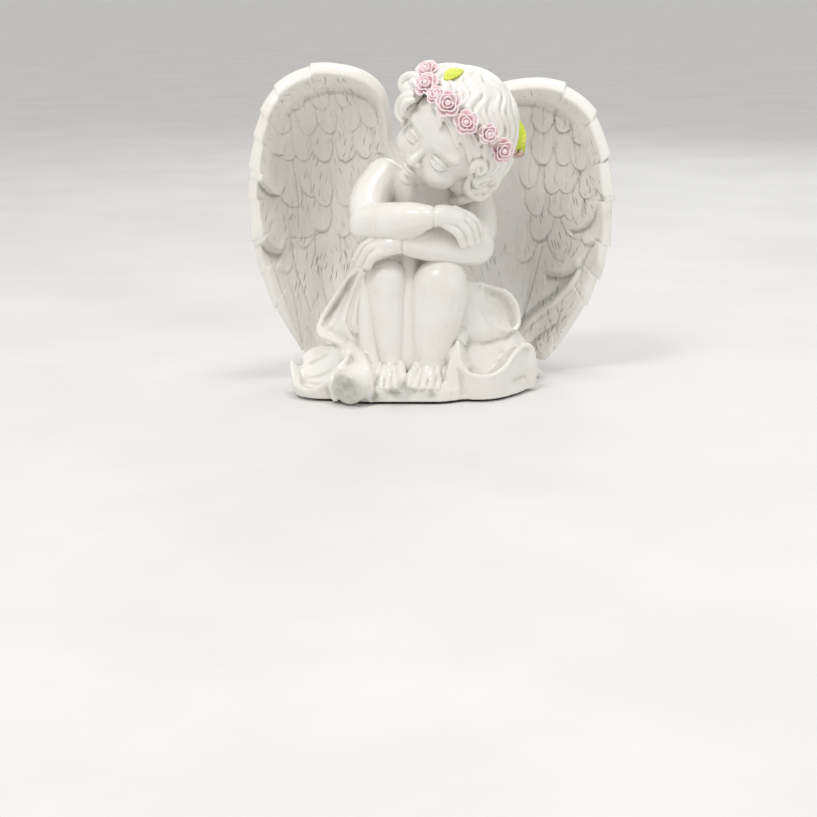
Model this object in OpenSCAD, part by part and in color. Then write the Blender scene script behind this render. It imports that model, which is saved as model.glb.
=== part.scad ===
// Seated cherub figurine in cast resin: a child with crossed arms resting on drawn-up knees,
// two cupped wings dowelled to the back, a draped cloth on a low ground casting, and a wreath
// of small roses. +X is the viewer's right, -Y the front, +Z up. "right" and "left" in the
// node names are the figure's own sides, so right is on -X.

/* [Figure] */
// Overall size, as a factor of the 150 mm design
figure_scale = 1; // [0.9:0.05:1.1]
// Lean of the head towards its left shoulder, degrees
head_roll = 33; // [30:1:36]
// Bow of the head, degrees
head_pitch = 28; // [26:1:30]
// Turn of the face towards its right, degrees
head_yaw = -26; // [-30:1:-22]

/* [Wings] */
// Thickness of the wing shell
wing_wall = 4; // [3.6:0.1:4.6]
// Height factor of the right wing
right_wing_rise = 1; // [0.97:0.01:1]
// Height factor of the left wing
left_wing_rise = 0.955; // [0.94:0.005:1]

/* [Ground] */
// Height of the ground casting
ground_h = 4.8; // [4.6:0.1:5.2]
// Thickness of the felt sheet under the ground casting
felt_h = 1.2; // [1:0.1:1.6]
// Diameter of the pour hole in the underside
pour_hole_d = 18; // [14:1:20]

/* [Fixings] */
// Diameter of the steel dowels
dowel_d = 3; // [2.5:0.5:3.5]

/* [Hidden] */

resin = [0.93, 0.92, 0.90];
rose_pink = [0.91, 0.66, 0.71];
leaf_green = [0.70, 0.80, 0.12];
vine_brown = [0.62, 0.50, 0.46];
steel = [0.62, 0.63, 0.65];
felt = [0.10, 0.10, 0.11];

big_fn = 16;
mid_fn = 12;
small_fn = 9;
tiny_fn = 6;
glue_gap = 0.15; // bond line round a dowel or a plug

// Landmarks of the pose.
seat = [-4, 5, 24];
belly = [-3, 2, 48];
chest = [-2, -2, 72];
neck = [3, -10, 95];
shoulder_r = [-24, -6, 93];
shoulder_l = [22, -3, 88];
elbow_r = [-28, -27, 76];
elbow_l = [23, -25, 66];
wrist_r = [3, -44, 83];
wrist_l = [-10, -41, 68];
knuckle_r = [13, -45, 80];
knuckle_l = [-22, -42, 67];
knee_r = [-20.5, -30, 54];
knee_l = [4, -32, 52];
ankle_r = [-17.5, -37, 17];
ankle_l = [1, -37, 17];
head_c = [12, -22, 119];
skull_r = 24;
hair_r = 27.6;

// ---- tools ----
function between(a, b, t) = a + (b - a) * t;
function unit(v) = v / norm(v);

module ball(p, r, fn = mid_fn) translate(p) sphere(r, $fn = fn);

module egg(p, size, fn = mid_fn) translate(p) scale(size) sphere(1, $fn = fn);

module limb(a, ra, b, rb, fn = mid_fn) hull() {
    ball(a, ra, fn);
    ball(b, rb, fn);
}

// A limb through several points, each with its own radius.
module chain(points, radii, fn = mid_fn)
    for (i = [0 : len(points) - 2]) limb(points[i], radii[i], points[i + 1], radii[i + 1], fn);

// A thick sheet between two rows of points.
module strip(lip, root, r, fn = small_fn)
    for (i = [0 : len(lip) - 2]) hull() {
        ball(lip[i], r, fn);
        ball(lip[i + 1], r, fn);
        ball(root[i], r, fn);
        ball(root[i + 1], r, fn);
    }

module in_head() translate(head_c)
    rotate([0, head_roll, 0]) rotate([head_pitch, 0, 0]) rotate([0, 0, head_yaw]) children();

module sized() scale(figure_scale) children();

// Closed Catmull-Rom curve through the points of a list.
function curve_point(p, i, t) =
    let (n = len(p), a = p[(i + n - 1) % n], b = p[i % n], c = p[(i + 1) % n], d = p[(i + 2) % n])
    0.5 * (2 * b + (c - a) * t + (2 * a - 5 * b + 4 * c - d) * t * t + (3 * b - a - 3 * c + d) * t * t * t);
function closed_curve(p, steps) =
    [for (i = [0 : len(p) - 1]) for (s = [0 : steps - 1]) curve_point(p, i, s / steps)];

// Solid through a stack of closed rings with the same number of points each.
module loft(rings) {
    n = len(rings[0]);
    last = len(rings) - 1;
    polyhedron(
        points = [for (ring = rings) each ring],
        faces = [
            [for (i = [0 : n - 1]) i],
            [for (i = [n - 1 : -1 : 0]) last * n + i],
            for (k = [0 : last - 1]) for (i = [0 : n - 1]) each [
                [k * n + i, (k + 1) * n + i, (k + 1) * n + (i + 1) % n],
                [k * n + i, (k + 1) * n + (i + 1) % n, k * n + (i + 1) % n]
            ]
        ]
    );
}

// ---- ground ----
// Outline of the ground casting from above, counter-clockwise.
ground_outline = [
    [-60, -26], [-52, -43], [-32, -50], [-10, -51], [4, -53], [18, -48], [38, -45], [50, -30],
    [58, -8], [59, 14], [44, 32], [18, 38], [-18, 38], [-46, 30], [-61, 8]
];
outline_steps = 3;
ground_curve = closed_curve(ground_outline, outline_steps);
ground_top = felt_h + ground_h;
ground_edge = 1.4; // roll of the ground's edge
felt_inset = 3;
pour_hole_depth = 3.6;

function grown(curve, grow, z) = [for (p = curve) [p[0] * (1 + grow / norm(p)), p[1] * (1 + grow / norm(p)), z]];

module ground_body() loft([
    grown(ground_curve, -ground_edge, felt_h),
    grown(ground_curve, 0, felt_h + ground_edge),
    grown(ground_curve, 0, ground_top - ground_edge),
    grown(ground_curve, -ground_edge, ground_top)
]);

module ground_casting() color(resin) sized() difference() {
    ground_body();
    translate([0, 0, felt_h - 1]) cylinder(d = pour_hole_d, h = pour_hole_depth + 1, $fn = 48);
}

module felt_sheet() color(felt) sized() linear_extrude(felt_h)
    polygon([for (p = grown(ground_curve, -felt_inset, 0)) [p[0], p[1]]]);

module pour_plug() color(felt) sized() translate([0, 0, felt_h])
    cylinder(d = pour_hole_d - 2 * glue_gap, h = pour_hole_depth - glue_gap, $fn = 48);

// ---- torso ----
module torso_body() {
    chain([seat, belly, chest], [22, 19, 16.5], big_fn);
    chain([chest, neck], [16, 8.5], big_fn);
    chain([shoulder_r, chest, shoulder_l], [8.5, 13, 8.5], mid_fn);
    limb(seat + [-12, 0, -5], 14, seat + [12, 0, -5], 14, big_fn);
    limb(between(shoulder_r, neck, 0.5), 8, between(shoulder_l, neck, 0.5), 8, mid_fn);
}

module torso_trimmed() difference() {
    torso_body();
    translate([-100, -100, -100]) cube([200, 200, 100 + ground_top]);
}

module torso() color(resin) sized() difference() {
    torso_trimmed();
    leg_form(knee_r, ankle_r, -1);
    leg_form(knee_l, ankle_l, 1);
    dowel_holes();
    neck_dowel_hole();
}

// ---- legs ----
thigh_r = 13.5;
knee_radius = 10.2;
calf_radius = 10.6;
ankle_radius = 6.6;

module leg_form(knee, ankle, side) {
    hip = seat + [side * 13, -4, -2];
    calf = between(knee, ankle, 0.38) + [0, 2.5, 0];
    shin = between(knee, ankle, 0.75) + [0, 0.8, 0];
    chain([hip, between(hip, knee, 0.55), knee], [thigh_r, 12.5, knee_radius], mid_fn);
    chain([knee, calf, shin, ankle], [knee_radius, calf_radius, 8.4, ankle_radius], mid_fn);
    chain([knee + [0, -1.5, 1.5], calf + [0, -1, 0]], [8, 9], mid_fn);
    limb(ankle, ankle_radius, ankle + [0, 5, -7], 5, mid_fn);
    limb(ankle, ankle_radius, ankle + [0, -3, -5], 5.5, mid_fn);
}

module trimmed_to_ground() difference() {
    children();
    translate([-100, -100, -100]) cube([200, 200, 100 + ground_top]);
}

module right_leg() color(resin) sized() trimmed_to_ground() leg_form(knee_r, ankle_r, -1);

module left_leg() color(resin) sized() trimmed_to_ground() difference() {
    leg_form(knee_l, ankle_l, 1);
    leg_form(knee_r, ankle_r, -1);
}

// ---- feet ----
toe_radii = [2.6, 2.0, 1.9, 1.8, 1.6];
toe_pitch = 3.4;

// Foot under an ankle: instep, ball and five toes. turn points the toes, side puts the big toe inside.
module foot_form(ankle, turn, side) translate([ankle[0], ankle[1], ground_top]) rotate([0, 0, turn]) {
    limb([0, 2, 5], 5, [0, -8, 3.5], 4.2, small_fn);
    limb([-3.5, -8, 3], 3.4, [3.5, -8, 3], 3.4, small_fn);
    limb([0, -2, 7], 5, [0, -8, 4.5], 4, small_fn);
    for (i = [0 : 4]) {
        x = side * (2 - i) * toe_pitch;
        reach = -13.4 + 0.9 * abs(i - 1);
        limb([x * 0.9, -8, 3.2], toe_radii[i], [x, reach, toe_radii[i]], toe_radii[i], tiny_fn);
    }
}

module right_foot() color(resin) sized() trimmed_to_ground() difference() {
    foot_form(ankle_r, -6, 1);
    leg_form(knee_r, ankle_r, -1);
}

module left_foot() color(resin) sized() trimmed_to_ground() difference() {
    foot_form(ankle_l, -16, -1);
    leg_form(knee_l, ankle_l, 1);
    foot_form(ankle_r, -6, 1);
}

// ---- arms ----
module right_arm_form() {
    chain([shoulder_r, between(shoulder_r, elbow_r, 0.5), elbow_r], [9.5, 9, 8.2], mid_fn);
    chain([elbow_r, between(elbow_r, wrist_r, 0.35), between(elbow_r, wrist_r, 0.8), wrist_r],
        [8.2, 8.6, 5.8, 4.8], mid_fn);
}

module left_arm_form() {
    chain([shoulder_l, between(shoulder_l, elbow_l, 0.5), elbow_l], [9, 8.6, 8], mid_fn);
    chain([elbow_l, between(elbow_l, wrist_l, 0.35), between(elbow_l, wrist_l, 0.8), wrist_l],
        [8, 8.2, 5.8, 4.8], mid_fn);
}

// ---- hands ----
finger_radii = [1.9, 2.0, 1.9, 1.7];
finger_lengths = [9, 10, 9.5, 8];
finger_pitch = 3.3;

// Palm from wrist to knuckles and four fingers. across runs along the knuckles from the index
// finger, down is the way that the fingertips bend.
module hand_form(wrist, knuckle, across, reach, down) {
    chain([between(wrist, knuckle, 0.1), knuckle], [4, 4.4], small_fn);
    limb(knuckle + across * finger_pitch * 1.3, 2.6, knuckle - across * finger_pitch * 1.3, 2.8, mid_fn);
    for (i = [0 : 3]) {
        root = knuckle + across * finger_pitch * (i - 1.5);
        middle = root + reach * finger_lengths[i] * 0.5 + down * 1.2;
        tip = middle + reach * finger_lengths[i] * 0.35 + down * 4;
        chain([root, middle, tip], [finger_radii[i], finger_radii[i], finger_radii[i] - 0.3], tiny_fn);
    }
}

module right_hand_form() hand_form(wrist_r, knuckle_r,
    unit([-0.35, -0.1, -0.93]), unit([0.85, 0.2, -0.45]), [0.2, 0.15, -0.95]);
module left_hand_form() hand_form(wrist_l, knuckle_l,
    unit([0.1, -0.75, -0.6]), unit([-0.85, 0.15, -0.4]), [-0.35, 0.1, -0.9]);

module right_arm() color(resin) sized() difference() {
    right_arm_form();
    torso_body();
    left_arm_form();
}

module left_arm() color(resin) sized() difference() {
    left_arm_form();
    torso_body();
    leg_form(knee_r, ankle_r, -1);
    leg_form(knee_l, ankle_l, 1);
}

module right_hand() color(resin) sized() difference() {
    right_hand_form();
    right_arm_form();
    left_arm_form();
    torso_body();
}

module left_hand() color(resin) sized() difference() {
    left_hand_form();
    left_arm_form();
    right_arm_form();
    leg_form(knee_r, ankle_r, -1);
}

// ---- head and hair ----
module head_form() {
    limb(neck, 8, between(neck, head_c, 0.4), 9, mid_fn);
    in_head() {
        egg([0, 1, 2], [skull_r, skull_r + 0.5, skull_r - 1], big_fn);
        hull() {
            egg([0, -9, -8], [17.5, 15, 14], mid_fn);
            egg([0, -13, -20], [6.5, 5.5, 5], small_fn);
        }
        for (side = [-1, 1]) {
            egg([side * 9.5, -15, -12], [8, 7.5, 7.5], small_fn);
            limb([side * 10, -21.5, -3], 3, [side * 7, -22.5, -3], 3, tiny_fn);
        }
        limb([0, -22, -2], 2, [0, -26, -9], 2.6, tiny_fn);
        limb([-2.4, -23, -14.5], 1.8, [2.4, -23, -14.5], 1.8, tiny_fn);
        limb([-1.5, -19.5, -20], 3, [1.5, -19.5, -20], 3, tiny_fn);
    }
}

module head() color(resin) sized() difference() {
    head_form();
    torso_body();
    right_arm_form();
    left_arm_form();
    right_hand_form();
    neck_dowel_hole();
}

hairline_normal = [0, 0.80, 0.60];
hairline_offset = -7;
lock_count = 10;

module hair_cap_form() in_head() difference() {
    union() {
        sphere(hair_r, $fn = big_fn);
        for (lock = [0 : lock_count - 1]) rotate([0, 0, lock * 360 / lock_count])
            limb([7, 0, 25.2], 2.6, [21.5, 3, 16], 2.8, tiny_fn);
    }
    // the face opening, cut square to the hairline
    translate(unit(hairline_normal) * hairline_offset)
        rotate([180 - atan2(hairline_normal[1], hairline_normal[2]), 0, 0])
            translate([-50, -50, 0]) cube(100);
}

module hair_cap() color(resin) sized() difference() {
    hair_cap_form();
    head_form();
    torso_body();
    right_arm_form();
}

// Curls beside the face, down the neck, for the side given by the sign of x.
curl_chain = [[21, -13, 11], [24, -8, 3], [24.5, -3, -6], [22, 2, -15], [17, 6, -22]];
curl_radii = [3, 3.8, 4.2, 4.6, 4.2];
forelock = [[-16, -18, 14], [-9, -20.5, 16], [0, -21, 17]];

module side_curls_form() in_head() {
    for (side = [-1, 1]) {
        chain([for (p = curl_chain) [side * p[0], p[1], p[2]]], curl_radii, small_fn);
        for (i = [1 : 3])
            ball([side * (curl_chain[i][0] + 2), curl_chain[i][1] - 1, curl_chain[i][2] - 4], 3.4, tiny_fn);
    }
    limb([15, 8, -22], 4.2, [10, 10, -27], 3, small_fn);
    chain(forelock, [3, 3.4, 3], small_fn);
}

module hair_side_curls() color(resin) sized() difference() {
    side_curls_form();
    vine_form();
    hair_cap_form();
    head_form();
    torso_body();
    right_arm_form();
    left_arm_form();
    right_hand_form();
}

// ---- wreath ----
wreath_roll = 43;
wreath_pitch = 6;
wreath_lift = 10.5;
wreath_r = 25.6;
vine_r = 1.6;

module in_wreath() translate(head_c) rotate([0, wreath_roll, 0]) rotate([wreath_pitch, 0, 0])
    translate([0, 0, wreath_lift]) children();

module vine_form() in_wreath() rotate_extrude($fn = 36) translate([wreath_r + vine_r * 0.7, 0]) circle(vine_r, $fn = 6);

module wreath_vine() color(vine_brown) sized() difference() {
    vine_form();
    hair_cap_form();
    head_form();
}

// Azimuth on the wreath from its front, radius and lift of each rose.
rose_table = [
    [-80, 5.2, 1.5], [-63, 5.6, -1.2], [-43, 4.4, 0.2], [-22, 5.8, -0.6], [8, 5.8, -0.6], [36, 5.2, 0.6], [62, 5.8, -0.5]
];
petal_count = 5;
rose_out = 2.6; // of the rose centre from the vine

module rose_form(r) {
    egg([0, 0, r * 0.1], [r * 0.6, r * 0.6, r * 0.5], tiny_fn);
    for (i = [0 : petal_count - 1]) rotate([0, 0, i * 360 / petal_count])
        limb([r * 0.64, -r * 0.2, 0], r * 0.3, [r * 0.6, r * 0.22, r * 0.2], r * 0.28, tiny_fn);
    limb([r * 0.2, 0, r * 0.5], r * 0.26, [-r * 0.2, 0, r * 0.4], r * 0.24, tiny_fn);
}

module on_wreath(azimuth, lift, out) in_wreath() rotate([0, 0, azimuth - 90])
    translate([wreath_r + out, 0, lift]) rotate([0, 72, 0]) children();

module rose(i) color(rose_pink) sized() difference() {
    on_wreath(rose_table[i][0], rose_table[i][2], rose_out) rose_form(rose_table[i][1]);
    if (i > 0) on_wreath(rose_table[i - 1][0], rose_table[i - 1][2], rose_out) rose_form(rose_table[i - 1][1]);
    vine_form();
    hair_cap_form();
    head_form();
    side_curls_form();
}

// Azimuth, lift, turn about the outward axis and length of each leaf.
leaf_table = [[-38, 6, -35, 11.5], [84, 4.5, 0, 12], [112, 3, 10, 10]];
leaf_thick = 0.9;

module leaf_form(length) hull() {
    ball([0, -length / 2, 0], leaf_thick * 0.7, tiny_fn);
    egg([0, 0, 0.6], [length * 0.24, length * 0.26, leaf_thick], tiny_fn);
    ball([0, length / 2, 0], leaf_thick * 0.6, tiny_fn);
}

module leaf(i) color(leaf_green) sized() difference() {
    on_wreath(leaf_table[i][0], leaf_table[i][1], 1.6)
        rotate([0, 0, leaf_table[i][2]]) leaf_form(leaf_table[i][3]);
    vine_form();
    hair_cap_form();
    side_curls_form();
    for (rose = rose_table) on_wreath(rose[0], rose[2], rose_out) rose_form(rose[1]);
}

// ---- drape ----
skirt_curve = closed_curve(ground_outline, 3);
// Height, share of the ground outline, and shift of each ring of the skirt.
skirt_rings = [
    [0, 0.93, [0, 0]], [3, 0.92, [0, 0.5]], [7, 0.84, [0, 2]], [12, 0.77, [0, 4]], [18, 0.72, [-1, 5]],
    [26, 0.66, [-2, 5]], [34, 0.58, [-3, 6]], [42, 0.50, [-4, 7]], [48, 0.44, [-4, 8]]
];
fold_count = 11;
fold_depth = 1.8;

function skirt_ring(r) = [for (p = skirt_curve)
    let (a = atan2(p[1], p[0]), ripple = fold_depth * sin(a * fold_count) * min(1, r[0] / 10))
    [p[0] * r[1] + r[2][0] + ripple * cos(a), p[1] * r[1] * 0.93 + r[2][1] + ripple * sin(a), ground_top + r[0]]];

module drape_skirt_form() {
    loft([for (r = skirt_rings) skirt_ring(r)]);
    strip([[30, -8, 44], [38, -10, 41], [43, -13, 33], [45, -14, 24]],
        [[26, -4, 30], [30, -5, 28], [33, -8, 24], [36, -10, 18]], 1.6);
}

// The space in front of the shins, where the feet stand clear of the cloth.
module feet_bay() translate([-31, -70, 0]) cube([47, 40, 60]);

module figure_forms() {
    torso_body();
    leg_form(knee_r, ankle_r, -1);
    leg_form(knee_l, ankle_l, 1);
    foot_form(ankle_r, -6, 1);
    foot_form(ankle_l, -16, -1);
}

module drape_skirt() color(resin) sized() difference() {
    drape_skirt_form();
    figure_forms();
    feet_bay();
    left_arm_form();
    left_hand_form();
    cloth_roll_form();
}

flap_r_lip = [[-38, -40, 12], [-48, -45, 8.5], [-56, -45, 8], [-63, -40, 9], [-68, -32, 13.5], [-66, -24, 15]];
flap_r_root = [[-36, -26, 18], [-42, -27, 16], [-47, -26, 14], [-50, -24, 13], [-52, -20, 14], [-50, -16, 16]];
flap_l_lip = [[15, -41, 21], [19, -46, 14], [28, -49, 12], [38, -47, 13], [48, -40, 18], [55, -32, 21], [60, -24, 15]];
flap_l_root = [[16, -30, 24], [22, -30, 22], [29, -30, 20], [36, -28, 19], [42, -25, 19], [46, -21, 19], [47, -16, 16]];
flap_thick = 1.8;

module drape_flap(lip, root) color(resin) sized() difference() {
    strip(lip, root, flap_thick);
    drape_skirt_form();
    figure_forms();
    ground_body();
    cloth_roll_form();
}

module drape_flap_right() drape_flap(flap_r_lip, flap_r_root);
module drape_flap_left() drape_flap(flap_l_lip, flap_l_root);

// Rolled end of the cloth beside the right foot.
roll_end = [-35, -55.5, 8.2];
roll_tail = [-29, -34, 12];

module cloth_roll_form() hull() {
    translate(roll_end) rotate([96, 0, 8]) cylinder(r1 = 7.8, r2 = 7.2, h = 1.6, $fn = 28);
    ball(roll_end + [0, 5, 0.4], 7.6, mid_fn);
    ball(roll_tail, 6.5, mid_fn);
}

module cloth_roll() color(resin) sized() difference() {
    cloth_roll_form();
    figure_forms();
    translate([-100, -100, -100 + felt_h]) cube([200, 200, 100]);
    ground_body();
}

// ---- wings ----
// Rim of a wing as x, y, z from the inner foot over the top to the tip at the ground.
wing_rim = [
    [7, 19, 70], [7, 18, 92], [11, 17, 112], [20, 13, 130], [34, 9, 143], [52, 8, 148.5], [68, 4, 143],
    [76.5, 0, 129], [81, -3, 105], [81.5, -4, 82], [79, -4, 58], [72.5, -3, 38], [63, 0, 20], [56, 3, 10],
    [46, 10, 14], [30, 16, 30], [15, 19, 48]
];
wing_bowl = [46, 34, 84];
rim_steps = 2;
wing_layers = 5;
feather_count = 7;
feather_pitch = 0.82; // in points of the rim

wing_curve = closed_curve(wing_rim, rim_steps);

// Point at share t of the way from the bowl's centre to rim point p, at depth h behind the front face.
function wing_point(p, t, h) =
    let (flat = [p[0] - wing_bowl[0], 0, p[2] - wing_bowl[2]], sink = wing_bowl[1] - p[1],
        slope = 2 * sink * t / norm(flat), out = unit(unit(flat) * slope + [0, 1, 0]))
    wing_bowl + flat * t - [0, sink * t * t, 0] + out * h;

// Front rings run from the centre out, back rings return to it.
function wing_rings() = concat(
    [for (k = [1 : wing_layers]) [for (p = wing_curve) wing_point(p, k / wing_layers, 0)]],
    [[for (p = wing_curve) wing_point(p, 1.012, wing_wall / 2)]],
    [for (k = [wing_layers : -1 : 1]) [for (p = wing_curve) wing_point(p, k / wing_layers, wing_wall)]]
);

module wing_shell() loft(wing_rings());

// Point of the rim at place k, counted in points from the inner foot.
function rim_point(k) = curve_point(wing_rim, floor(k), k - floor(k));

// Long feathers laid on the back, whose tips stand out of the outer rim.
module rim_feathers() for (i = [0 : feather_count - 1]) {
    k = 6.6 + i * feather_pitch;
    hull() {
        ball(wing_point(rim_point(k - 0.5), 0.62, wing_wall), 1.6, tiny_fn);
        ball(wing_point(rim_point(k), 0.93, wing_wall * 0.9), 2.8, tiny_fn);
        ball(wing_point(rim_point(k + 0.3), 1.025, wing_wall * 0.6), 1.3, tiny_fn);
    }
}

// Thickening where the wing meets the back, kept clear of the other wing.
module wing_root() difference() {
    for (z = [66, 80, 94]) limb([6, 7, z], 7, [13, 21, z], 5.5, small_fn);
    translate([-20 + glue_gap, -20, 50]) cube([20, 60, 60]);
}

module wing_form(rise) scale([1, 1, rise]) {
    wing_shell();
    rim_feathers();
    wing_root();
}

dowel_length = 16;
dowel_x = 8.5;
dowel_heights = [68, 84];

module each_dowel() for (side = [-1, 1]) for (z = dowel_heights) translate([side * dowel_x, 2, z])
    rotate([-90, 0, 0]) children();

module dowel_holes() each_dowel() translate([0, 0, -glue_gap])
    cylinder(d = dowel_d + 2 * glue_gap, h = dowel_length + 2 * glue_gap, $fn = 16);

module wing_cut() {
    torso_body();
    dowel_holes();
    drape_skirt_form();
    ground_body();
}

module right_wing() color(resin) sized() difference() {
    mirror([1, 0, 0]) wing_form(right_wing_rise);
    wing_cut();
}

module left_wing() color(resin) sized() difference() {
    wing_form(left_wing_rise);
    wing_cut();
}

// ---- dowels ----
module wing_dowels() color(steel) sized() each_dowel() cylinder(d = dowel_d, h = dowel_length, $fn = 24);

neck_dowel_foot = between(chest, neck, 0.55);
neck_dowel_length = 22;

module along_neck() {
    way = head_c - neck_dowel_foot;
    translate(neck_dowel_foot) rotate([0, acos(way[2] / norm(way)), atan2(way[1], way[0])]) children();
}

module neck_dowel_hole() along_neck() translate([0, 0, -glue_gap])
    cylinder(d = dowel_d + 2 * glue_gap, h = neck_dowel_length + 2 * glue_gap, $fn = 16);

module neck_dowel() color(steel) sized() along_neck() cylinder(d = dowel_d, h = neck_dowel_length, $fn = 24);

ground_casting();
felt_sheet();
pour_plug();
drape_skirt();
drape_flap_right();
drape_flap_left();
cloth_roll();
torso();
right_leg();
left_leg();
right_foot();
left_foot();
right_arm();
left_arm();
right_hand();
left_hand();
head();
hair_cap();
hair_side_curls();
wreath_vine();
for (i = [0 : 6]) rose(i);
for (i = [0 : 2]) leaf(i);
right_wing();
left_wing();
wing_dowels();
neck_dowel();
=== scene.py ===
import bpy
import math
import numpy as np
from mathutils import Matrix, Vector


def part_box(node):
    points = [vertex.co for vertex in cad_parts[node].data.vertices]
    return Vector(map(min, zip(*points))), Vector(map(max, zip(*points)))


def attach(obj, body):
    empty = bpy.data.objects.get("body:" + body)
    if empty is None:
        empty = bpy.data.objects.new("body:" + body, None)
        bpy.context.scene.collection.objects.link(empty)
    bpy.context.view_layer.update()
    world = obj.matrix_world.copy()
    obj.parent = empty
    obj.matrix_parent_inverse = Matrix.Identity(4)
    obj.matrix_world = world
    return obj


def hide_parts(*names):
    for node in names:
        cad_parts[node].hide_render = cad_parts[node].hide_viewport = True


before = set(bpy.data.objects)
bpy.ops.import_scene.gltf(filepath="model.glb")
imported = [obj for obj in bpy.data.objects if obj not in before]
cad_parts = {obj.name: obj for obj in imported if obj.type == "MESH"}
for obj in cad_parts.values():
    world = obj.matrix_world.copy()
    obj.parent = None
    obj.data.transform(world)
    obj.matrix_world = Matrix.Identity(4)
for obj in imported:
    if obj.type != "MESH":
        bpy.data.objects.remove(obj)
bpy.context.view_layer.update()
mm = 0.001
print("frame loaded")


# places come from the boxes of the CAD nodes
def middle(node):
    low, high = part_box(node)
    return (np.array(low) + np.array(high)) / 2 / mm


def around(node, offsets):  # points given from the middle of a CAD node's box
    return middle(node) + np.array(offsets, dtype=float)


def between(a, b, share):
    return np.array(a) + (np.array(b) - np.array(a)) * share


def unit(v):
    v = np.array(v, dtype=float)
    return v / np.linalg.norm(v)


def softStep(low, high, values):
    t = np.clip((values - low) / (high - low), 0, 1)
    return t * t * (3 - 2 * t)


# shaping
def deselect():
    if bpy.context.object and bpy.context.object.mode != "OBJECT":
        bpy.ops.object.mode_set(mode="OBJECT")
    bpy.ops.object.select_all(action="DESELECT")


def held(piece):  # the one piece that is selected and active
    deselect()
    piece.select_set(True)
    bpy.context.view_layer.objects.active = piece


def opened(piece):  # in edit mode with every face selected
    held(piece)
    bpy.ops.object.mode_set(mode="EDIT")
    bpy.ops.mesh.select_all(action="SELECT")


def ball(centre, radius, stretch=(1, 1, 1), turn=(0, 0, 0), facets=24):
    deselect()
    bpy.ops.mesh.primitive_uv_sphere_add(segments=facets, ring_count=facets // 2, radius=radius, location=centre)
    piece = bpy.context.object
    piece.scale = stretch
    piece.rotation_euler = turn
    bpy.ops.object.transform_apply(location=True, rotation=True, scale=True)
    return piece


def rod(points, radii, steps=6, sides=5, rounded=True):  # a round bar of changing thickness on a smooth path
    deselect()
    bpy.ops.curve.primitive_bezier_curve_add(location=(0, 0, 0))
    piece = bpy.context.object
    curve = piece.data
    curve.splines.clear()
    path = curve.splines.new("BEZIER")
    path.bezier_points.add(len(points) - 1)
    for knot, at, radius in zip(path.bezier_points, points, radii):
        knot.co = at
        knot.radius = radius
        knot.handle_left_type = knot.handle_right_type = "AUTO"
    curve.dimensions = "3D"
    curve.bevel_depth = 1
    curve.bevel_resolution = sides
    curve.resolution_u = steps
    curve.use_fill_caps = True
    bpy.ops.object.convert(target="MESH")
    piece = bpy.context.object
    if rounded:
        ends = [ball(points[0], radii[0], facets=16), ball(points[-1], radii[-1], facets=16)]
        piece = joined([piece] + ends)
    return piece


def joined(parts, name=None):
    deselect()
    for part in parts:
        part.select_set(True)
    bpy.context.view_layer.objects.active = parts[0]
    if len(parts) > 1:
        bpy.ops.object.join()
    piece = bpy.context.object
    if name:
        piece.name = name
        piece.data.name = name
    return piece


def applied(piece, kind, **settings):
    held(piece)
    modifier = piece.modifiers.new(kind.title(), kind)
    for key, value in settings.items():
        setattr(modifier, key, value)
    bpy.ops.object.modifier_apply(modifier=modifier.name)
    return piece


def welded(parts, voxel, rounds, name=None):  # parts grown together into one skin, then smoothed
    piece = joined(parts, name)
    applied(piece, "REMESH", mode="VOXEL", voxel_size=voxel, adaptivity=0)
    if rounds:
        applied(piece, "SMOOTH", factor=0.5, iterations=rounds)
    return piece


def cutAway(piece, point, normal):  # keeps the side that the normal points away from
    opened(piece)
    bpy.ops.mesh.bisect(plane_co=point, plane_no=normal, use_fill=True, clear_outer=True)
    bpy.ops.object.mode_set(mode="OBJECT")
    return piece


def facedOut(piece, seam=0.0):  # closes a doubled seam where there is one, and turns every face outwards
    opened(piece)
    if seam:
        bpy.ops.mesh.remove_doubles(threshold=seam)
    bpy.ops.mesh.normals_make_consistent(inside=False)
    bpy.ops.object.mode_set(mode="OBJECT")
    return piece


def flatGrid(columns, rows):  # a flat square of faces, 2 wide, to be set into shape
    deselect()
    bpy.ops.mesh.primitive_grid_add(x_subdivisions=columns, y_subdivisions=rows, size=2, location=(0, 0, 0))
    return bpy.context.object


def meshFrom(name, points, faces):
    data = bpy.data.meshes.new(name)
    data.from_pydata([tuple(p) for p in points], [], faces)
    data.update()
    piece = bpy.data.objects.new(name, data)
    bpy.context.collection.objects.link(piece)
    return piece


def spots(piece):
    values = np.empty(len(piece.data.vertices) * 3)
    piece.data.vertices.foreach_get("co", values)
    return values.reshape(-1, 3)


def setSpots(piece, points):
    piece.data.vertices.foreach_set("co", np.asarray(points, dtype=float).ravel())
    piece.data.update()


def outward(piece):
    values = np.empty(len(piece.data.vertices) * 3)
    piece.data.vertices.foreach_get("normal", values)
    return values.reshape(-1, 3)


def push(piece, centre, reach, way):  # moves the surface near a spot, like a thumb on clay
    points = spots(piece)
    near = np.exp(-((np.linalg.norm(points - np.array(centre), axis=1) / reach) ** 2))
    setSpots(piece, points + near[:, None] * np.array(way, dtype=float))


def score(piece, path, width, depth):  # a groove along a path; a negative depth raises a ridge
    points = spots(piece)
    normals = outward(piece)
    path = np.array(path, dtype=float)
    nearest = np.full(len(points), 1e9)
    for a, b in zip(path[:-1], path[1:]):
        run = b - a
        share = np.clip(((points - a) @ run) / (run @ run), 0, 1)
        nearest = np.minimum(nearest, np.linalg.norm(points - (a + share[:, None] * run), axis=1))
    setSpots(piece, points - normals * (depth * np.exp(-((nearest / width) ** 2)))[:, None])


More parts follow.
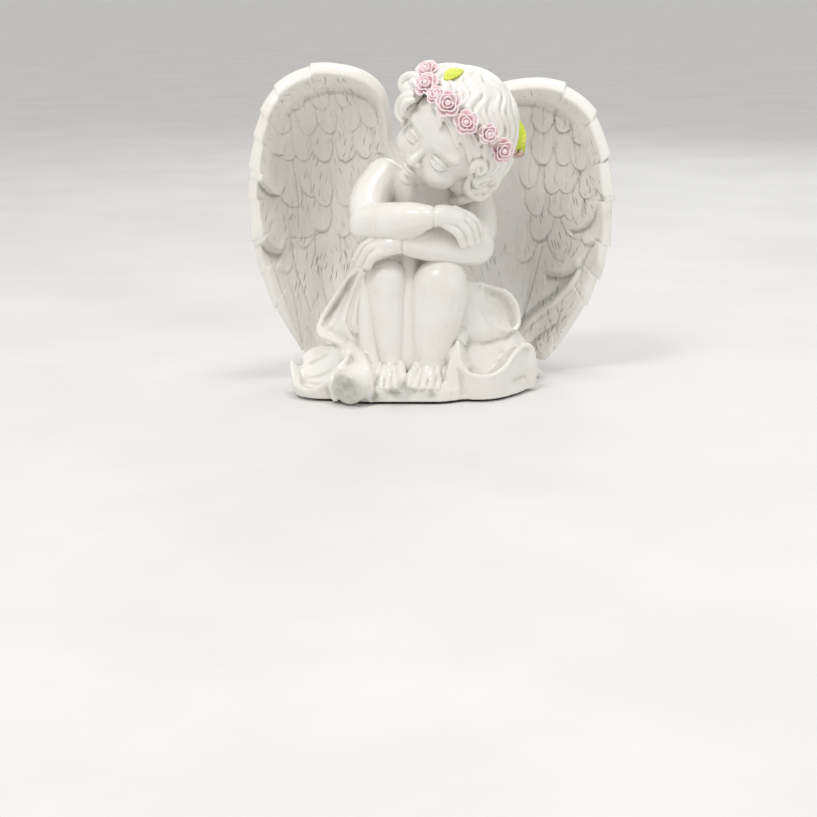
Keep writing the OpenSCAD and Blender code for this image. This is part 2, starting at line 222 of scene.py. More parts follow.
def smoothPath(knots, count):  # open Catmull-Rom path through knots
    knots = np.array(knots, dtype=float)
    padded = np.vstack([2 * knots[0] - knots[1], knots, 2 * knots[-1] - knots[-2]])
    out = []
    for s in np.linspace(0, len(knots) - 1 - 1e-9, count):
        i = int(s)
        t = s - i
        a, b, c, d = padded[i : i + 4]
        out.append(0.5 * (2 * b + (c - a) * t + (2 * a - 5 * b + 4 * c - d) * t * t + (3 * b - a - 3 * c + d) * t**3))
    return np.array(out)


def neighbourMean(piece, values, rounds):
    edges = np.empty(len(piece.data.edges) * 2, dtype=np.int64)
    piece.data.edges.foreach_get("vertices", edges)
    a, b = edges.reshape(-1, 2).T
    size = len(values)
    count = np.maximum(np.bincount(a, minlength=size) + np.bincount(b, minlength=size), 1)
    for _ in range(rounds):
        values = np.stack(
            [(np.bincount(a, values[b, k], size) + np.bincount(b, values[a, k],
                size)) / count for k in range(values.shape[1])],
            axis=1,
        )
    return values


def addChannel(piece, name, values):
    channel = piece.data.attributes.new(name, "FLOAT", "POINT")
    channel.data.foreach_set("value", np.asarray(values, dtype=np.float32))


def markHollows(piece, rounds=10, depth=0.18):  # 0 on edges, 0.5 on flats, 1 in grooves
    points = spots(piece)
    lift = ((neighbourMean(piece, points, rounds) - points) * outward(piece)).sum(axis=1)
    addChannel(piece, "hollow", np.clip(0.5 + lift / depth / 2, 0, 1))


dirtAndShadePlaces = [  # centre and reach of the handled, soiled spots, and of the painted shade on rose_7
    (around("cloth_roll", [-5.8, -15, -2.3]), 8.4), (around("right_foot", [-5.8, -10.7, -6.7]), 3.2),
    (around("right_foot", [-2.3, -11.7, -6.7]), 3.2),
    (around("right_foot", [2.2, -11.2, -4.7]), 3.4), (around("right_foot", [6.2, -12.2, 0.3]), 3.4),
    (around("left_foot", [-5.8, -12.9, -4.7]), 3.4),
    (around("left_foot", [-1.3, -12.9, -5.2]), 3.2), (around("left_foot", [3.2, -11.9, -5.7]), 3.0),
    # the rose_7 spot is painted shade, dark brown, on a rose that lies in shade
    (around("left_hand", [-6.5, -0.1, -5.3]), 2.2), (around("rose_7", [-5, -4, 6.6]), 3.2),
]


mostFaces = 190000  # triangles in one piece


def finished(piece, name, finish, nodes, rounds=10, depth=0.18):
    triangles = sum(len(face.vertices) - 2 for face in piece.data.polygons)
    if triangles > mostFaces:
        applied(piece, "DECIMATE", ratio=mostFaces / triangles)
    piece.name = name
    piece.data.name = name
    markHollows(piece, rounds, depth)
    points = spots(piece)
    # one channel holds the soiled spots and the painted shade on rose_7
    dirtAndShade = np.zeros(len(points))
    for centre, reach in dirtAndShadePlaces:
        dirtAndShade = np.maximum(dirtAndShade, np.exp(-((np.linalg.norm(points - centre, axis=1) / reach) ** 4)))
    addChannel(piece, "dirtAndShade", dirtAndShade)
    setSpots(piece, points * mm)
    held(piece)
    bpy.ops.object.shade_smooth()
    piece.data.materials.clear()
    piece.data.materials.append(finish)
    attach(piece, "root")
    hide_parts(*nodes)
    print(name, len(piece.data.polygons), "faces")
    return piece


# finishes
def newFinish(name):
    finish = bpy.data.materials.new(name)
    finish.use_nodes = True
    tree = finish.node_tree
    shader = tree.nodes["Principled BSDF"]
    return finish, tree, shader


def addNode(tree, kind, links=(), **settings):
    made = tree.nodes.new(kind)
    for key, value in settings.items():
        if key in made.inputs:
            made.inputs[key].default_value = value
        else:
            setattr(made, key, value)
    for socket, source in links:
        tree.links.new(source, made.inputs[socket])
    return made


def channelOf(tree, name):
    return addNode(tree, "ShaderNodeAttribute", attribute_name=name).outputs["Fac"]


def grain(tree, scale, detail=3.0, rough=0.55):
    where = tree.nodes.get("Where") or addNode(tree, "ShaderNodeTexCoord", name="Where")
    links = [("Vector", where.outputs["Object"])]
    return addNode(tree, "ShaderNodeTexNoise", links, Scale=scale, Detail=detail, Roughness=rough).outputs["Fac"]


def bump(tree, height, strength, distance, under=None, **settings):  # under is the bump it lies over
    links = [("Height", height)] + ([("Normal", under)] if under is not None else [])
    made = addNode(tree, "ShaderNodeBump", links, Strength=strength, Distance=distance, **settings)
    return made.outputs["Normal"]


def dressed(look, colour, roughness, skin=None, coat=0.0, coatRoughness=0.03):
    finish, tree, shader = look
    shader.inputs["Coat Weight"].default_value = coat
    shader.inputs["Coat Roughness"].default_value = coatRoughness
    for socket, source in (("Base Color", colour), ("Roughness", roughness), ("Normal", skin)):
        if source is not None:
            tree.links.new(source, shader.inputs[socket])
    return finish


def ramp(tree, source, low, high, lowValue=0.0, highValue=1.0):
    made = addNode(tree, "ShaderNodeMapRange", [("Value", source)])
    made.interpolation_type = "SMOOTHSTEP"
    made.inputs["From Min"].default_value = low
    made.inputs["From Max"].default_value = high
    made.inputs["To Min"].default_value = lowValue
    made.inputs["To Max"].default_value = highValue
    return made.outputs["Result"]


def times(tree, a, b, operation="MULTIPLY"):
    made = addNode(tree, "ShaderNodeMath", operation=operation)
    for socket, source in zip(made.inputs, (a, b)):
        if isinstance(source, (int, float)):
            socket.default_value = source
        else:
            tree.links.new(source, socket)
    return made.outputs["Value"]


def mixed(tree, factor, a, b):  # colours; a and b are colours or sockets
    made = addNode(tree, "ShaderNodeMix", data_type="RGBA")
    tree.links.new(factor, made.inputs["Factor"])
    for name, source in (("A", a), ("B", b)):
        socket = [s for s in made.inputs if s.name == name and s.type == "RGBA"][0]
        if isinstance(source, tuple):
            socket.default_value = source + (1.0,)
        else:
            tree.links.new(source, socket)
    return [s for s in made.outputs if s.type == "RGBA"][0]


resinLook = {
    "white": (0.87, 0.853, 0.825),
    "warm": (0.83, 0.808, 0.765),
    "grime": (0.36, 0.36, 0.29),
    "roughness": (0.17, 0.30),
    "coat": 0.35,
    "coatRoughness": 0.09,
}


def resinFinish(name, grimeFrom=0.66, grimeTo=1.0, strength=0.55):
    look = _, tree, _ = newFinish(name)
    hollow = channelOf(tree, "hollow")
    cloud = grain(tree, 55, 4)
    speck = grain(tree, 900, 2)
    tone = mixed(tree, ramp(tree, cloud, 0.35, 0.7), resinLook["white"], resinLook["warm"])
    soilAndShade = times(tree, ramp(tree, hollow, grimeFrom, grimeTo), ramp(tree, grain(tree, 140, 5), 0.32, 0.72, 0.35, 1.0))
    soilAndShade = times(tree, soilAndShade, strength)
    dots = times(tree, ramp(tree, speck, 0.735, 0.765), ramp(tree, cloud, 0.5, 0.66))
    soilAndShade = times(tree, soilAndShade, times(tree, dots, 0.45), "ADD")
    # soiled spots, and painted shade near rose_7
    smudgeAndShade = times(tree, channelOf(tree, "dirtAndShade"), ramp(tree, grain(tree, 260, 5, 0.6), 0.28, 0.72, 0.45, 0.98))
    soilAndShade = times(tree, soilAndShade, smudgeAndShade, "ADD")
    soilAndShade = times(tree, soilAndShade, 1.0, "MINIMUM")
    wear = times(tree, ramp(tree, cloud, 0.3, 0.75, *resinLook["roughness"]), times(tree, soilAndShade, 0.35), "ADD")
    skin = bump(tree, speck, 0.12, 0.00008, bump(tree, grain(tree, 420, 2), 0.10, 0.0002))
    colour = mixed(tree, soilAndShade, tone, resinLook["grime"])
    return dressed(look, colour, wear, skin, resinLook["coat"], resinLook["coatRoughness"])


bodyResin = resinFinish("glossyResin")
hairResin = resinFinish("hairResin", 0.57, 0.90, 0.78)


# trunk, arms and hands
trunk = {"voxel": 0.75, "rounds": 14, "fineVoxel": 0.44, "fineRounds": 2}


def makeUpperBody():
    seat, belly, chest, neck = around("torso", [[-3, 0.9, -28.7], [-2, -2.1, -6.7], [-1, -6.1, 17.3],
        [4, -14.1, 40.3]])
    rightArm = around("right_arm", [[-6.9, 16.7, 12.4], [-13.5, 7.2, 2.9], [-13.7, -3.3, -6.6]])
    rightFore = around("right_arm", [[-13.7, -3.3, -6.6], [-2.9, -13.8, -4.6], [7.1, -20.3, -1.9],
        [15.1, -23.3, -0.5]])
    leftArm = around("left_arm", [[12.4, 16, 11.5], [14.7, 6, 0.5], [12.9, -5, -9.5]])
    leftFore = around("left_arm", [[12.9, -5, -9.1], [0.9, -13, -7.7], [-11.1, -17.8, -6.5], [-20.6, -19.9, -5.9]])
    parts = [
        rod([seat, belly, chest, between(chest, neck, 0.55)], [21, 19.5, 17, 13.5]),
        rod([rightArm[0] + [3, 0, -1], between(chest, neck, 0.62), leftArm[0] + [-3, 0, -1]], [8, 11.5, 8]),
        rod([between(chest, neck, 0.5), neck + [3, -4, 6]], [11, 9.5]),
        rod(rightArm, [9.2, 9.4, 8.6]),
        rod(rightFore, [9.4, 9.6, 7.8, 5.2]),
        rod(leftArm, [8.6, 8.8, 8.4]),
        rod(leftFore, [9.2, 9.2, 7.4, 5.2]),
        ball(chest + [-9, -9, 6], 8.5, (1, 0.8, 1)),
        ball(chest + [9, -9, 6], 8.5, (1, 0.8, 1)),
        ball(belly + [0, -8, -2], 15, (1.1, 0.85, 0.9)),
    ]
    parts.append(rod(around("torso", [[-1, 4.9, -4.7], [0, 6.9, 20.3], [2, 4.9, 38.3]]), [11, 10.5, 8.5]))
    for side in (-1, 1):  # where each wing grows out of the back
        for height in (66, 80, 94):
            root = between(chest, neck, 0.1) * [1, 1, 0] + [side * 6, 8, height]
            parts.append(rod([root, root + [side * 9, 12, 2]], [7, 5.5]))
    body = welded(parts, trunk["voxel"], trunk["rounds"], "upper_body")

    backOfHand = around("right_hand", [[-13.6, -1, 8.2], [-8.1, -1, 8.6], [-2.1, 0.2, 7.2]])
    fingers = [
        around("right_hand", [[-7.6, -2.2, 5.4], [-2.1, -1.6, 1.2], [0.8, 0.6, -4.8]]),
        around("right_hand", [[-5.6, -2, 7.6], [1.4, -0.8, 3.2], [4.4, 1.8, -4.2]]),
        around("right_hand", [[-4.1, -1, 9.6], [4.2, 1, 4.6], [7.1, 3.8, -3.4]]),
        around("right_hand", [[-3.1, 0.6, 10.8], [5.9, 3.4, 6], [9.1, 6.2, -1.4]]),
    ]
    otherBack = around("left_hand", [[10.5, 1.6, 7.8], [5.5, 0.8, 7.4], [0.5, 1.4, 6]])
    otherFingers = [
        around("left_hand", [[5, -1.2, 5.4], [-2, -1, 3.2], [-6.1, 1.4, -3.6]]),
        around("left_hand", [[4.5, 0, 8.2], [-4.5, 1.2, 5.4], [-9.1, 3.8, -2]]),
        around("left_hand", [[4.5, 3, 9.4], [-6, 4.4, 7], [-11.1, 7, 0]]),
    ]
    parts = [body]
    for back, radii, hand, widths in (
        (backOfHand, [4.6, 5.0, 4.6], fingers, (2.1, 2.1, 2.0, 1.8)),
        (otherBack, [4.6, 4.8, 4.4], otherFingers, (2.2, 2.3, 2.1)),
    ):
        parts.append(rod(back, radii))
        parts += [rod(finger, [thick + 0.4, thick, thick - 0.35]) for finger, thick in zip(hand, widths)]
    body = welded(parts, trunk["fineVoxel"], trunk["fineRounds"], "upper_body")

    for hand, at, lean, depth in (("right_hand", [-13.1, -1.2, 8.2], 0.6, 0.55),
        ("left_hand", [10, 1.5, 7.8], 0, 0.5)):
        wrist = around(hand, at)
        ring = [wrist + [lean, 5 * math.cos(a), 5 * math.sin(a)] for a in np.linspace(0, 2 * math.pi, 14)]
        score(body, ring, 0.7, depth)  # crease round the wrist
    elbow = around("right_arm", [-16.9, -6.3, -1.1])
    score(body, [elbow + [6, -4, 4.5], elbow + [2.5, -3, 1], elbow + [3, -6, -3]], 0.9, 0.5)  # fold inside the elbow
    for finger in fingers + otherFingers:  # nails
        tip = finger[-1]
        way = unit(tip - finger[1])
        push(body, tip - way * 0.4 + [0, -1.7, 0.5], 0.8, [0, 0.3, 0])
    return finished(body, "upper_body", bodyResin, ["torso", "right_arm", "left_arm", "right_hand", "left_hand"])


# legs and feet
leg = {"voxel": 0.7, "rounds": 12, "fineVoxel": 0.40, "fineRounds": 2, "toeRadii": (2.6, 1.85, 1.75, 1.65, 1.5),
    "toePitch": 3.3, "toeShare": 0.98, "toeFront": -16.6}


def makeLeg(side, legNode, footNode, thigh, knee, shin, ankle, heelTurn, stout, name):
    parts = [
        rod([thigh, between(thigh, knee, 0.5) + [0, 0, 1], knee], [14, 12.8, stout[0]]),
        rod([knee, shin, ankle], [stout[0], stout[1], stout[2]]),
        ball(knee + [0, -1.2, 1.4], stout[0] * 0.93, (1.0, 0.95, 0.95)),
        rod([between(knee, shin, 0.6) + [0, 5, 0], shin + [0, 5.5, -4], ankle + [0, 4, 3]],
            [stout[1] * 0.9, stout[1] * 0.86, stout[2] * 0.85]),
        ball(ankle + [0, 3, -6], 6.4, (0.95, 1.1, 0.8)),
        rod([ankle, ankle + [0, -5, -5.5]], [stout[2] * 0.94, 5.2]),
    ]
    piece = welded(parts, leg["voxel"], leg["rounds"], name)
    turn = Matrix.Rotation(math.radians(heelTurn), 3, "Z")
    sole = around("ground_casting", [1, 7.1, 2.4])[2]

    def foot(x, y, z):
        return np.array(Vector((ankle[0], ankle[1], sole)) + turn @ Vector((x, y, z)))

    parts = [piece]
    parts.append(rod([foot(0, 0, 8.4), foot(0, -5, 6.8), foot(0, -9, 4.6)], [5.9, 5.0, 3.4]))
    parts.append(rod([foot(-3.6, -6.6, 3.9), foot(3.6, -6.6, 3.9)], [3.7, 3.7]))
    toes = []  # radius, place across the foot, how far forward
    for i, radius in enumerate(leg["toeRadii"]):
        toes.append((radius, side * (2 - i) * leg["toePitch"] * leg["toeShare"],
            leg["toeFront"] + 0.85 * abs(i - 0.6) ** 1.25))
    for radius, across, reach in toes:
        knots = [
            foot(across * 0.72, -4.6, 10.2), foot(across * 0.84, -8.4, 7.4),
            foot(across * 0.96, reach + 4.0, radius + 3.0),
            foot(across, reach + 1.0, radius),
        ]
        parts.append(rod(knots, [radius * share for share in (0.9, 0.95, 0.95, 0.92)], sides=4))
        parts.append(ball(foot(across, reach + 0.8, radius - 0.2), radius * 1.05, (1, 1, 0.95), facets=16))
    piece = welded(parts, leg["fineVoxel"], leg["fineRounds"], name)
    for radius, across, reach in toes:  # nails
        top = foot(across, reach - 0.1, radius * 1.4)
        arc = [top + [radius * 0.55 * math.cos(a), -0.2 + radius * 0.5 * math.sin(a),
            -0.15] for a in np.linspace(0.15, math.pi - 0.15, 7)]
        score(piece, arc, 0.32, 0.22)
    for away in (side, -side):  # dimples under the kneecap
        push(piece, knee + [away * 4.5, -8.5, -7], 3.2, [0, 0.5, 0])
    score(piece, [ankle + [-6, -5.2, 1.2], ankle + [0, -7.4, 0.2], ankle + [6, -5.2, 1.2]], 0.9, 0.4)
    return finished(piece, name, bodyResin, [legNode, footNode])


# head and face
headPose = {"roll": 33, "pitch": 28, "yaw": -26}
headMiddle = around("head", [1.4, 0.1, 0.9])
headTurn = (
    Matrix.Rotation(math.radians(headPose["roll"]), 3, "Y")
    @ Matrix.Rotation(math.radians(headPose["pitch"]), 3, "X")
    @ Matrix.Rotation(math.radians(headPose["yaw"]), 3, "Z")
)


def fromHead(points):  # places in the room as seen from the upright head
    return (np.array(points) - headMiddle) @ np.array(headTurn)


def ontoHead(piece):  # shaped upright round the origin, then set on the neck at its tilt
    setSpots(piece, spots(piece) @ np.array(headTurn).T + headMiddle)
    return piece


face = {
    "skull": 24, "eyeX": 8.6, "eyeZ": -4.5, "eyeRadius": 4.6, "noseZ": -11, "mouthZ": -16.8, "chinZ": -23.5,
    "voxel": 0.8, "rounds": 16, "fineVoxel": 0.36, "fineRounds": 3,
    "lidRise": 24, "lidFall": 26,
}


def makeHead():
    r = face["skull"]
    parts = [
        ball((0, 1, 2), r, (1, 1.02, 0.97), facets=40),
        ball((0, -5, -9), 19, (0.98, 0.90, 0.90), facets=32),
        ball((0, -13.5, -19.5), 7.5, (1.05, 0.9, 0.8)),
        ball((0, -11, 6), 16.5, (1.12, 0.82, 0.9)),
        rod([(0, -1, -13), (-3, 4, -27)], [14.5, 11]),
    ]
    for side in (-1, 1):
        parts.append(ball((side * 9.0, -12.6, -12.0), 8.8, (1.0, 0.92, 0.95)))
        parts.append(rod([(side * 13.5, -18.2, 2.5), (side * 5, -21.0, 1.6)], [3.4, 3.0]))
    parts.append(ball((0, -19, -16.6), 5.0, (1.1, 0.75, 0.8)))
    piece = welded(parts, face["voxel"], face["rounds"], "head")

    z, x = face["eyeZ"], face["eyeX"]
    for side in (-1, 1):  # sockets
        push(piece, (side * (x - 1), -21.5, z + 0.6), 4.2, (0, 1.5, 0))
        push(piece, (side * 4.2, -23, z + 0.5), 2.2, (0, 0.7, 0))
    parts = [piece]
    nose = face["noseZ"]
    parts.append(rod([(0, -20.8, z), (0, -22.8, nose + 3.2), (0, -24.7, nose + 0.6)], [1.8, 2.0, 2.4], sides=5))
    parts.append(ball((0, -25.0, nose), 2.5, (1.05, 1, 0.92), facets=20))
    for side in (-1, 1):
        parts.append(ball((side * 2.5, -23.3, nose - 0.3), 1.75, (1, 1.05, 0.9), facets=16))
        centre = np.array([side * x, -17.0, z])
        parts.append(ball(centre, face["eyeRadius"], facets=28))
        for rise, thick in ((face["lidRise"], 0.62), (-face["lidFall"], 0.42)):  # lids lie close on the eyeball
            lid = []
            for a in np.linspace(-66, 66, 7):
                up = math.radians(rise * math.cos(math.radians(a * 1.3)) - 3)
                out = math.radians(a)
                reach = face["eyeRadius"] + 0.15
                lid.append(centre + reach * np.array([side * math.sin(out), -math.cos(out) * math.cos(up),
                    math.sin(up)]))
            parts.append(rod(lid, [0.3, thick * 0.8, thick, thick, thick, thick * 0.8, 0.3], steps=4, sides=3))
        ear = side * 23.2
        parts.append(ball((ear, 1.5, -6), 4.6, (0.45, 0.75, 1.05)))
    mouth = face["mouthZ"]
    for side in (-1, 1):
        parts.append(rod([(side * 4.3, -21.9, mouth + 0.1), (side * 2.2, -23.5, mouth + 0.8),
            (0, -23.9, mouth + 0.5)], [0.45, 1.05, 1.0], sides=4))
    parts.append(rod([(-3.6, -22.2, mouth - 0.7), (0, -23.5, mouth - 1.7), (3.6, -22.2, mouth - 0.7)],
        [0.5, 1.35, 0.5], sides=4))
    parts.append(ball((0, -19.6, face["chinZ"] + 0.6), 3.6, (1.2, 0.8, 0.85)))
    piece = welded(parts, face["fineVoxel"], face["fineRounds"], "head")

    score(piece, smoothPath([(-4.5, -22.2, mouth - 0.05), (-2.2, -24.4, mouth - 0.1), (0, -24.9, mouth - 0.35),
        (2.2, -24.4, mouth - 0.1), (4.5, -22.2, mouth - 0.05)], 16), 0.42, 0.55)
    push(piece, (0, -23.6, mouth + 2.4), 0.9, (0, 0.45, 0))  # groove over the lip
    push(piece, (0, -22.4, mouth - 4.0), 2.2, (0, 0.7, 0))
    for side in (-1, 1):
        push(piece, (side * 1.35, -25.6, nose - 2.0), 0.75, (0, 1.0, 0.9))
        push(piece, (side * 5.2, -21.8, mouth), 0.9, (0, 0.6, 0))
        crease = smoothPath(
            [(side * (x - 3.4), -21.0, z + 2.6), (side * (x - 1), -21.8, z + 3.6), (side * (x + 2.2), -21.2, z + 3.6),
                (side * (x + 4.8), -18.4, z + 1.4)], 14
        )
        score(piece, crease, 0.5, 0.3)
        iris = [(side * x + 1.6 * math.cos(a), -21.4, z - 0.2 + 1.45 * math.sin(a)) for a in np.linspace(0,
            2 * math.pi, 18)]
        score(piece, iris, 0.36, 0.22)
        push(piece, (side * x, -21.6, z - 0.2), 0.7, (0, 0.5, 0))
        score(piece, smoothPath([(side * 3.9, -23.6, z + 6.4), (side * 8.6, -23.4, z + 7.6),
            (side * 13.2, -20.8, z + 6.0)], 12), 0.9, -0.22)
    ontoHead(piece)
    return finished(piece, "head_and_face", bodyResin, ["head"], rounds=8, depth=0.16)


# hair
hair = {"scalp": 26.6, "lockCount": 46, "overCount": 34, "voxel": 0.44, "rounds": 1, "hairline": (0, 0.8, 0.6),
    "start": -3.5,
    "whorl": (0.15, 0.07, 0.98), "lifted": (-0.5, 0, 2.2), "strand": 2.0}


def lockPath(whorl, azimuth, far, wave, phase, lift, pace=11.0):
    whorl = unit(whorl)
    side = unit(np.cross(whorl, [0.2, 1, 0.1]))
    up = np.cross(whorl, side)
    path = []
    for theta in np.arange(2, far, 6.0):
        t = math.radians(theta)
        sway = wave * math.sin(math.radians(theta * pace) + phase) / max(math.sin(t), 0.5)
        a = math.radians(azimuth) + sway
        way = whorl * math.cos(t) + (side * math.cos(a) + up * math.sin(a)) * math.sin(t)
        spot = way * (hair["scalp"] + lift)
        if spot @ np.array(hair["hairline"]) < hair["start"] - 1.5:
            break
        path.append(spot)
    return path


def curl(centre, outwardWay, radius, turns, thick, start=0.0, hand=1, rise=0.0):  # a coil lying on the head
    n = unit(outwardWay)
    a = unit(np.cross(n, [0.1, 0.2, 1]))
    b = np.cross(n, a)
    path, radii = [], []
    steps = max(6, int(turns * 9))
    for i in range(steps + 1):
        share = i / steps
        angle = start + hand * share * turns * 2 * math.pi
        r = radius * (1 - 0.72 * share)
        path.append(np.array(centre) + (a * math.cos(angle) + b * math.sin(angle)) * r + n * (rise * share))
        radii.append(thick * (0.55 + 0.55 * math.sin(math.pi * min(1, share * 1.1 + 0.12))))
    return rod(path, radii, steps=3, sides=3)


hairStrands = [  # curls outside the wreath at the temple, and those that fall on the shoulder
    around("hair_cap", [[-22.8, -13.2, 14.8], [-26.7, -11.2, 13.4], [-28.9, -9.2, 9.8], [-28.9, -9.2, 5.8],
        [-27.4, -10.2, 2.9]]),
    around("hair_cap", [[-22.4, -15.2, 12.5], [-25.4, -14.2, 11.5], [-27, -13.2, 8.9], [-27.2, -12.7, 5.9]]),
    around("hair_cap", [[-18, -11.2, 19.8], [-22.3, -8.2, 22.7], [-26.7, -6.2, 21.3], [-27.6, -6.2, 18.3],
        [-25.4, -8.2, 15.8], [-21.5, -11.2, 16.9]]),
    around("hair_cap", [[-19, -13.2, 17.3], [-22.5, -10.6, 19.7], [-25.1, -8.6, 18.7]]),
    around("hair_side_curls", [[13.2, -15.1, -5], [11.5, -14.1, -9.5], [13.4, -12.1, -14.6], [17.9, -9.1, -16.2]]),
    around("hair_side_curls", [[17.7, -13.1, -6.5], [21.4, -10.1, -9.9], [23.9, -6.1, -14.8], [21.7, -5.1, -18.9],
        [16.2, -8.1, -18.6]]),
    around("hair_side_curls", [[11.1, -13.1, -14], [10.3, -11.1, -18.7], [13.6, -8.1, -22.6], [18.2, -5.1, -22.7],
        [21, -3.1, -20.9]]),
    around("hair_side_curls", [[16.1, -14.6, -2.2], [15.6, -13.6, -7.7], [18.1, -11.6, -12.2], [20, -9.6, -13.6]]),
    around("hair_side_curls", [[21.1, -10.1, -4.2], [24.1, -6.6, -8.6], [25.6, -2.1, -13.6], [24.2, -0.1, -18.2]]),
]


def makeHair():
    rng = np.random.default_rng(7)
    scalp = ball((0, 0.6, 0.6), hair["scalp"] - 0.6, (1, 1, 1), facets=48)
    cutAway(scalp, unit(hair["hairline"]) * hair["start"], [-v for v in hair["hairline"]])
    parts = [scalp]
    whorl = np.array(headTurn.inverted() @ Vector(unit(hair["whorl"])))
    for i in range(hair["lockCount"]):
        azimuth = 360 * i / hair["lockCount"] + rng.uniform(-1.5, 1.5)
        path = lockPath(whorl, azimuth, rng.uniform(132, 158), 0.055, 0.5 + 0.02 * azimuth,
            0.8 * (i % 2) + rng.uniform(-0.15, 0.15))
        if len(path) < 4:
            continue
        count = len(path)
        radii = [2.1 * (0.4 + 0.6 * min(1, k / 4)) * (1 - 0.45 * max(0, k - count + 4) / 3) for k in range(count)]
        parts.append(rod(path, radii, steps=3, sides=3))
    for i in range(hair["overCount"]):
        azimuth = 360 * (i + rng.uniform(-0.3, 0.3)) / hair["overCount"]
        path = lockPath(whorl, azimuth, rng.uniform(60, 140), 0.075, 0.5 + 0.02 * azimuth + rng.uniform(-0.6, 0.6),
            1.9)[1:]
        if len(path) < 4:
            continue
        count = len(path)
        radii = [1.35 * math.sin(math.pi * (k + 0.8) / (count + 0.8)) ** 0.6 for k in range(count)]
        parts.append(rod(path, radii, steps=3, sides=3))
    cap = welded(parts, hair["voxel"], hair["rounds"], "hair")

    curls = [cap]
    beside = [  # centre, radius, turns, thickness, start, hand
        ((-24.8, -2.5, -6.0), 4.2, 1.1, 1.8, 1.0, 1), ((-24.0, 0.5, -12.0), 4.2, 1.2, 1.8, 2.8, -1),
        ((-21.5, 4.0, -17.0), 4.2, 1.2, 1.8, 0.2, 1),
        ((24.0, -7.0, -3.0), 4.2, 1.15, 1.8, 2.6, 1), ((24.4, -3.0, -10.0), 4.6, 1.25, 1.9, 0.6, -1),
        ((21.5, -3.5, -17.0), 4.4, 1.2, 1.9, 1.9, 1), ((23.0, 4.0, -15.0), 4.6, 1.2, 1.9, 0.4, 1),
        ((18.0, 2.5, -22.5), 4.4, 1.25, 1.9, 3.0, -1), ((13.0, 8.0, -25.5), 4.4, 1.2, 1.8, 1.2, 1),
        ((20.0, 10.5, -16.5), 4.6, 1.2, 1.8, 2.2, -1), ((-16.5, 10.0, -21.5), 4.4, 1.2, 1.8, 2.0, 1),
        ((-6.0, 14.0, -23.0), 4.4, 1.2, 1.8, 0.8, -1), ((4.5, 14.5, -23.5), 4.4, 1.2, 1.8, 2.4, 1),
        ((22.5, -12.5, 4.5), 3.6, 1.1, 1.6, 0.9, -1),
    ]
    for centre, radius, turns, thick, start, hand in beside:
        centre = np.array(centre, dtype=float)
        curls.append(ball(centre * 0.965, radius * 0.82, facets=16))
        curls.append(curl(centre * 1.045, centre, radius, turns, thick, start, hand, 1.6))
    fringe = [
        ((-16, -16.5, 18.5), (-8, -21.6, 18.4), (-1, -24.0, 16.2), (4, -24.9, 12.6)),
        ((-10, -18.4, 21), (-1, -22.6, 18.8), (8, -23.2, 15), (14, -21.0, 10.2)),
        ((-2, -21.2, 20.4), (7, -22.0, 17.4), (15, -19, 12.6), (20.6, -15.0, 6.4)),
        ((5, -20.6, 19.4), (14, -18.6, 15.2), (20.4, -14.4, 9.4), (23.6, -10.6, 1.6)),
        ((12, -18.4, 17.6), (19, -14.8, 12.6), (23.6, -9.6, 5.2), (25.2, -5.6, -2.6)),
    ]
    fringeTaper = (0.5, 0.9, 1.2, 1.3, 1.35, 1.3, 1.25, 1.1, 0.8, 0.4)
    for knots in fringe:
        for shift, thick in ((0, 1.0), (1.7, 0.85)):
            path = smoothPath(knots, 10)
            wave = np.stack([np.zeros(10), 0.25 * np.ones(10), 0.55 * np.sin(np.arange(10) * 1.3) + shift - 2.2],
                axis=1)
            curls.append(rod(path + wave, [share * thick for share in fringeTaper], steps=3, sides=3))
    for strand in hairStrands:
        strand = fromHead(strand)
        curls.append(rod(strand, [1.3] + [hair["strand"]] * (len(strand) - 2) + [1.1], steps=5, sides=4))
    for node, spot, radius in (
        ("hair_side_curls", [17.1, -2.1, -14.2], 7.5), ("hair_side_curls", [12.1, -6.1, -17.2], 5.5),
        ("hair_side_curls", [7.6, -3.6, -16.2], 6), ("hair_cap", [-23, -7.2, 15.7], 5.5),
        ("hair_cap", [-24, -6.2, 8.2], 4.5),
    ):
        curls.append(ball(fromHead(around(node, spot)), radius))
    piece = welded(curls, hair["voxel"], hair["rounds"], "hair")
    ontoHead(piece)
    high = softStep(100, 124, spots(piece)[:, 2] - headMiddle[2] + 119)
    setSpots(piece, spots(piece) + np.array(hair["lifted"]) * high[:, None])
    return finished(piece, "hair", hairResin, ["hair_cap", "hair_side_curls"], rounds=8, depth=0.30)


# wreath
wreath = {"tilt": (0.641, -0.165, 0.749), "lift": 13.0, "radius": 27.4, "stem": 1.0, "twists": 9, "steps": 72}
wreathTurn = Vector(wreath["tilt"]).to_track_quat("Z", "Y").to_matrix()
wreathMiddle = headMiddle + np.array(wreathTurn @ Vector((0, 0, wreath["lift"])))

roseLook = {"pink": (0.90, 0.60, 0.66), "pale": (0.94, 0.83, 0.84), "deep": (0.72, 0.33, 0.40),
    "soilAndShade": (0.33, 0.24, 0.18)}
leafLook = {"lime": (0.56, 0.72, 0.04), "yellow": (0.80, 0.80, 0.10), "shade": (0.25, 0.36, 0.02)}
stemLook = {"brown": (0.52, 0.33, 0.29), "pale": (0.80, 0.74, 0.68), "dark": (0.25, 0.17, 0.13)}


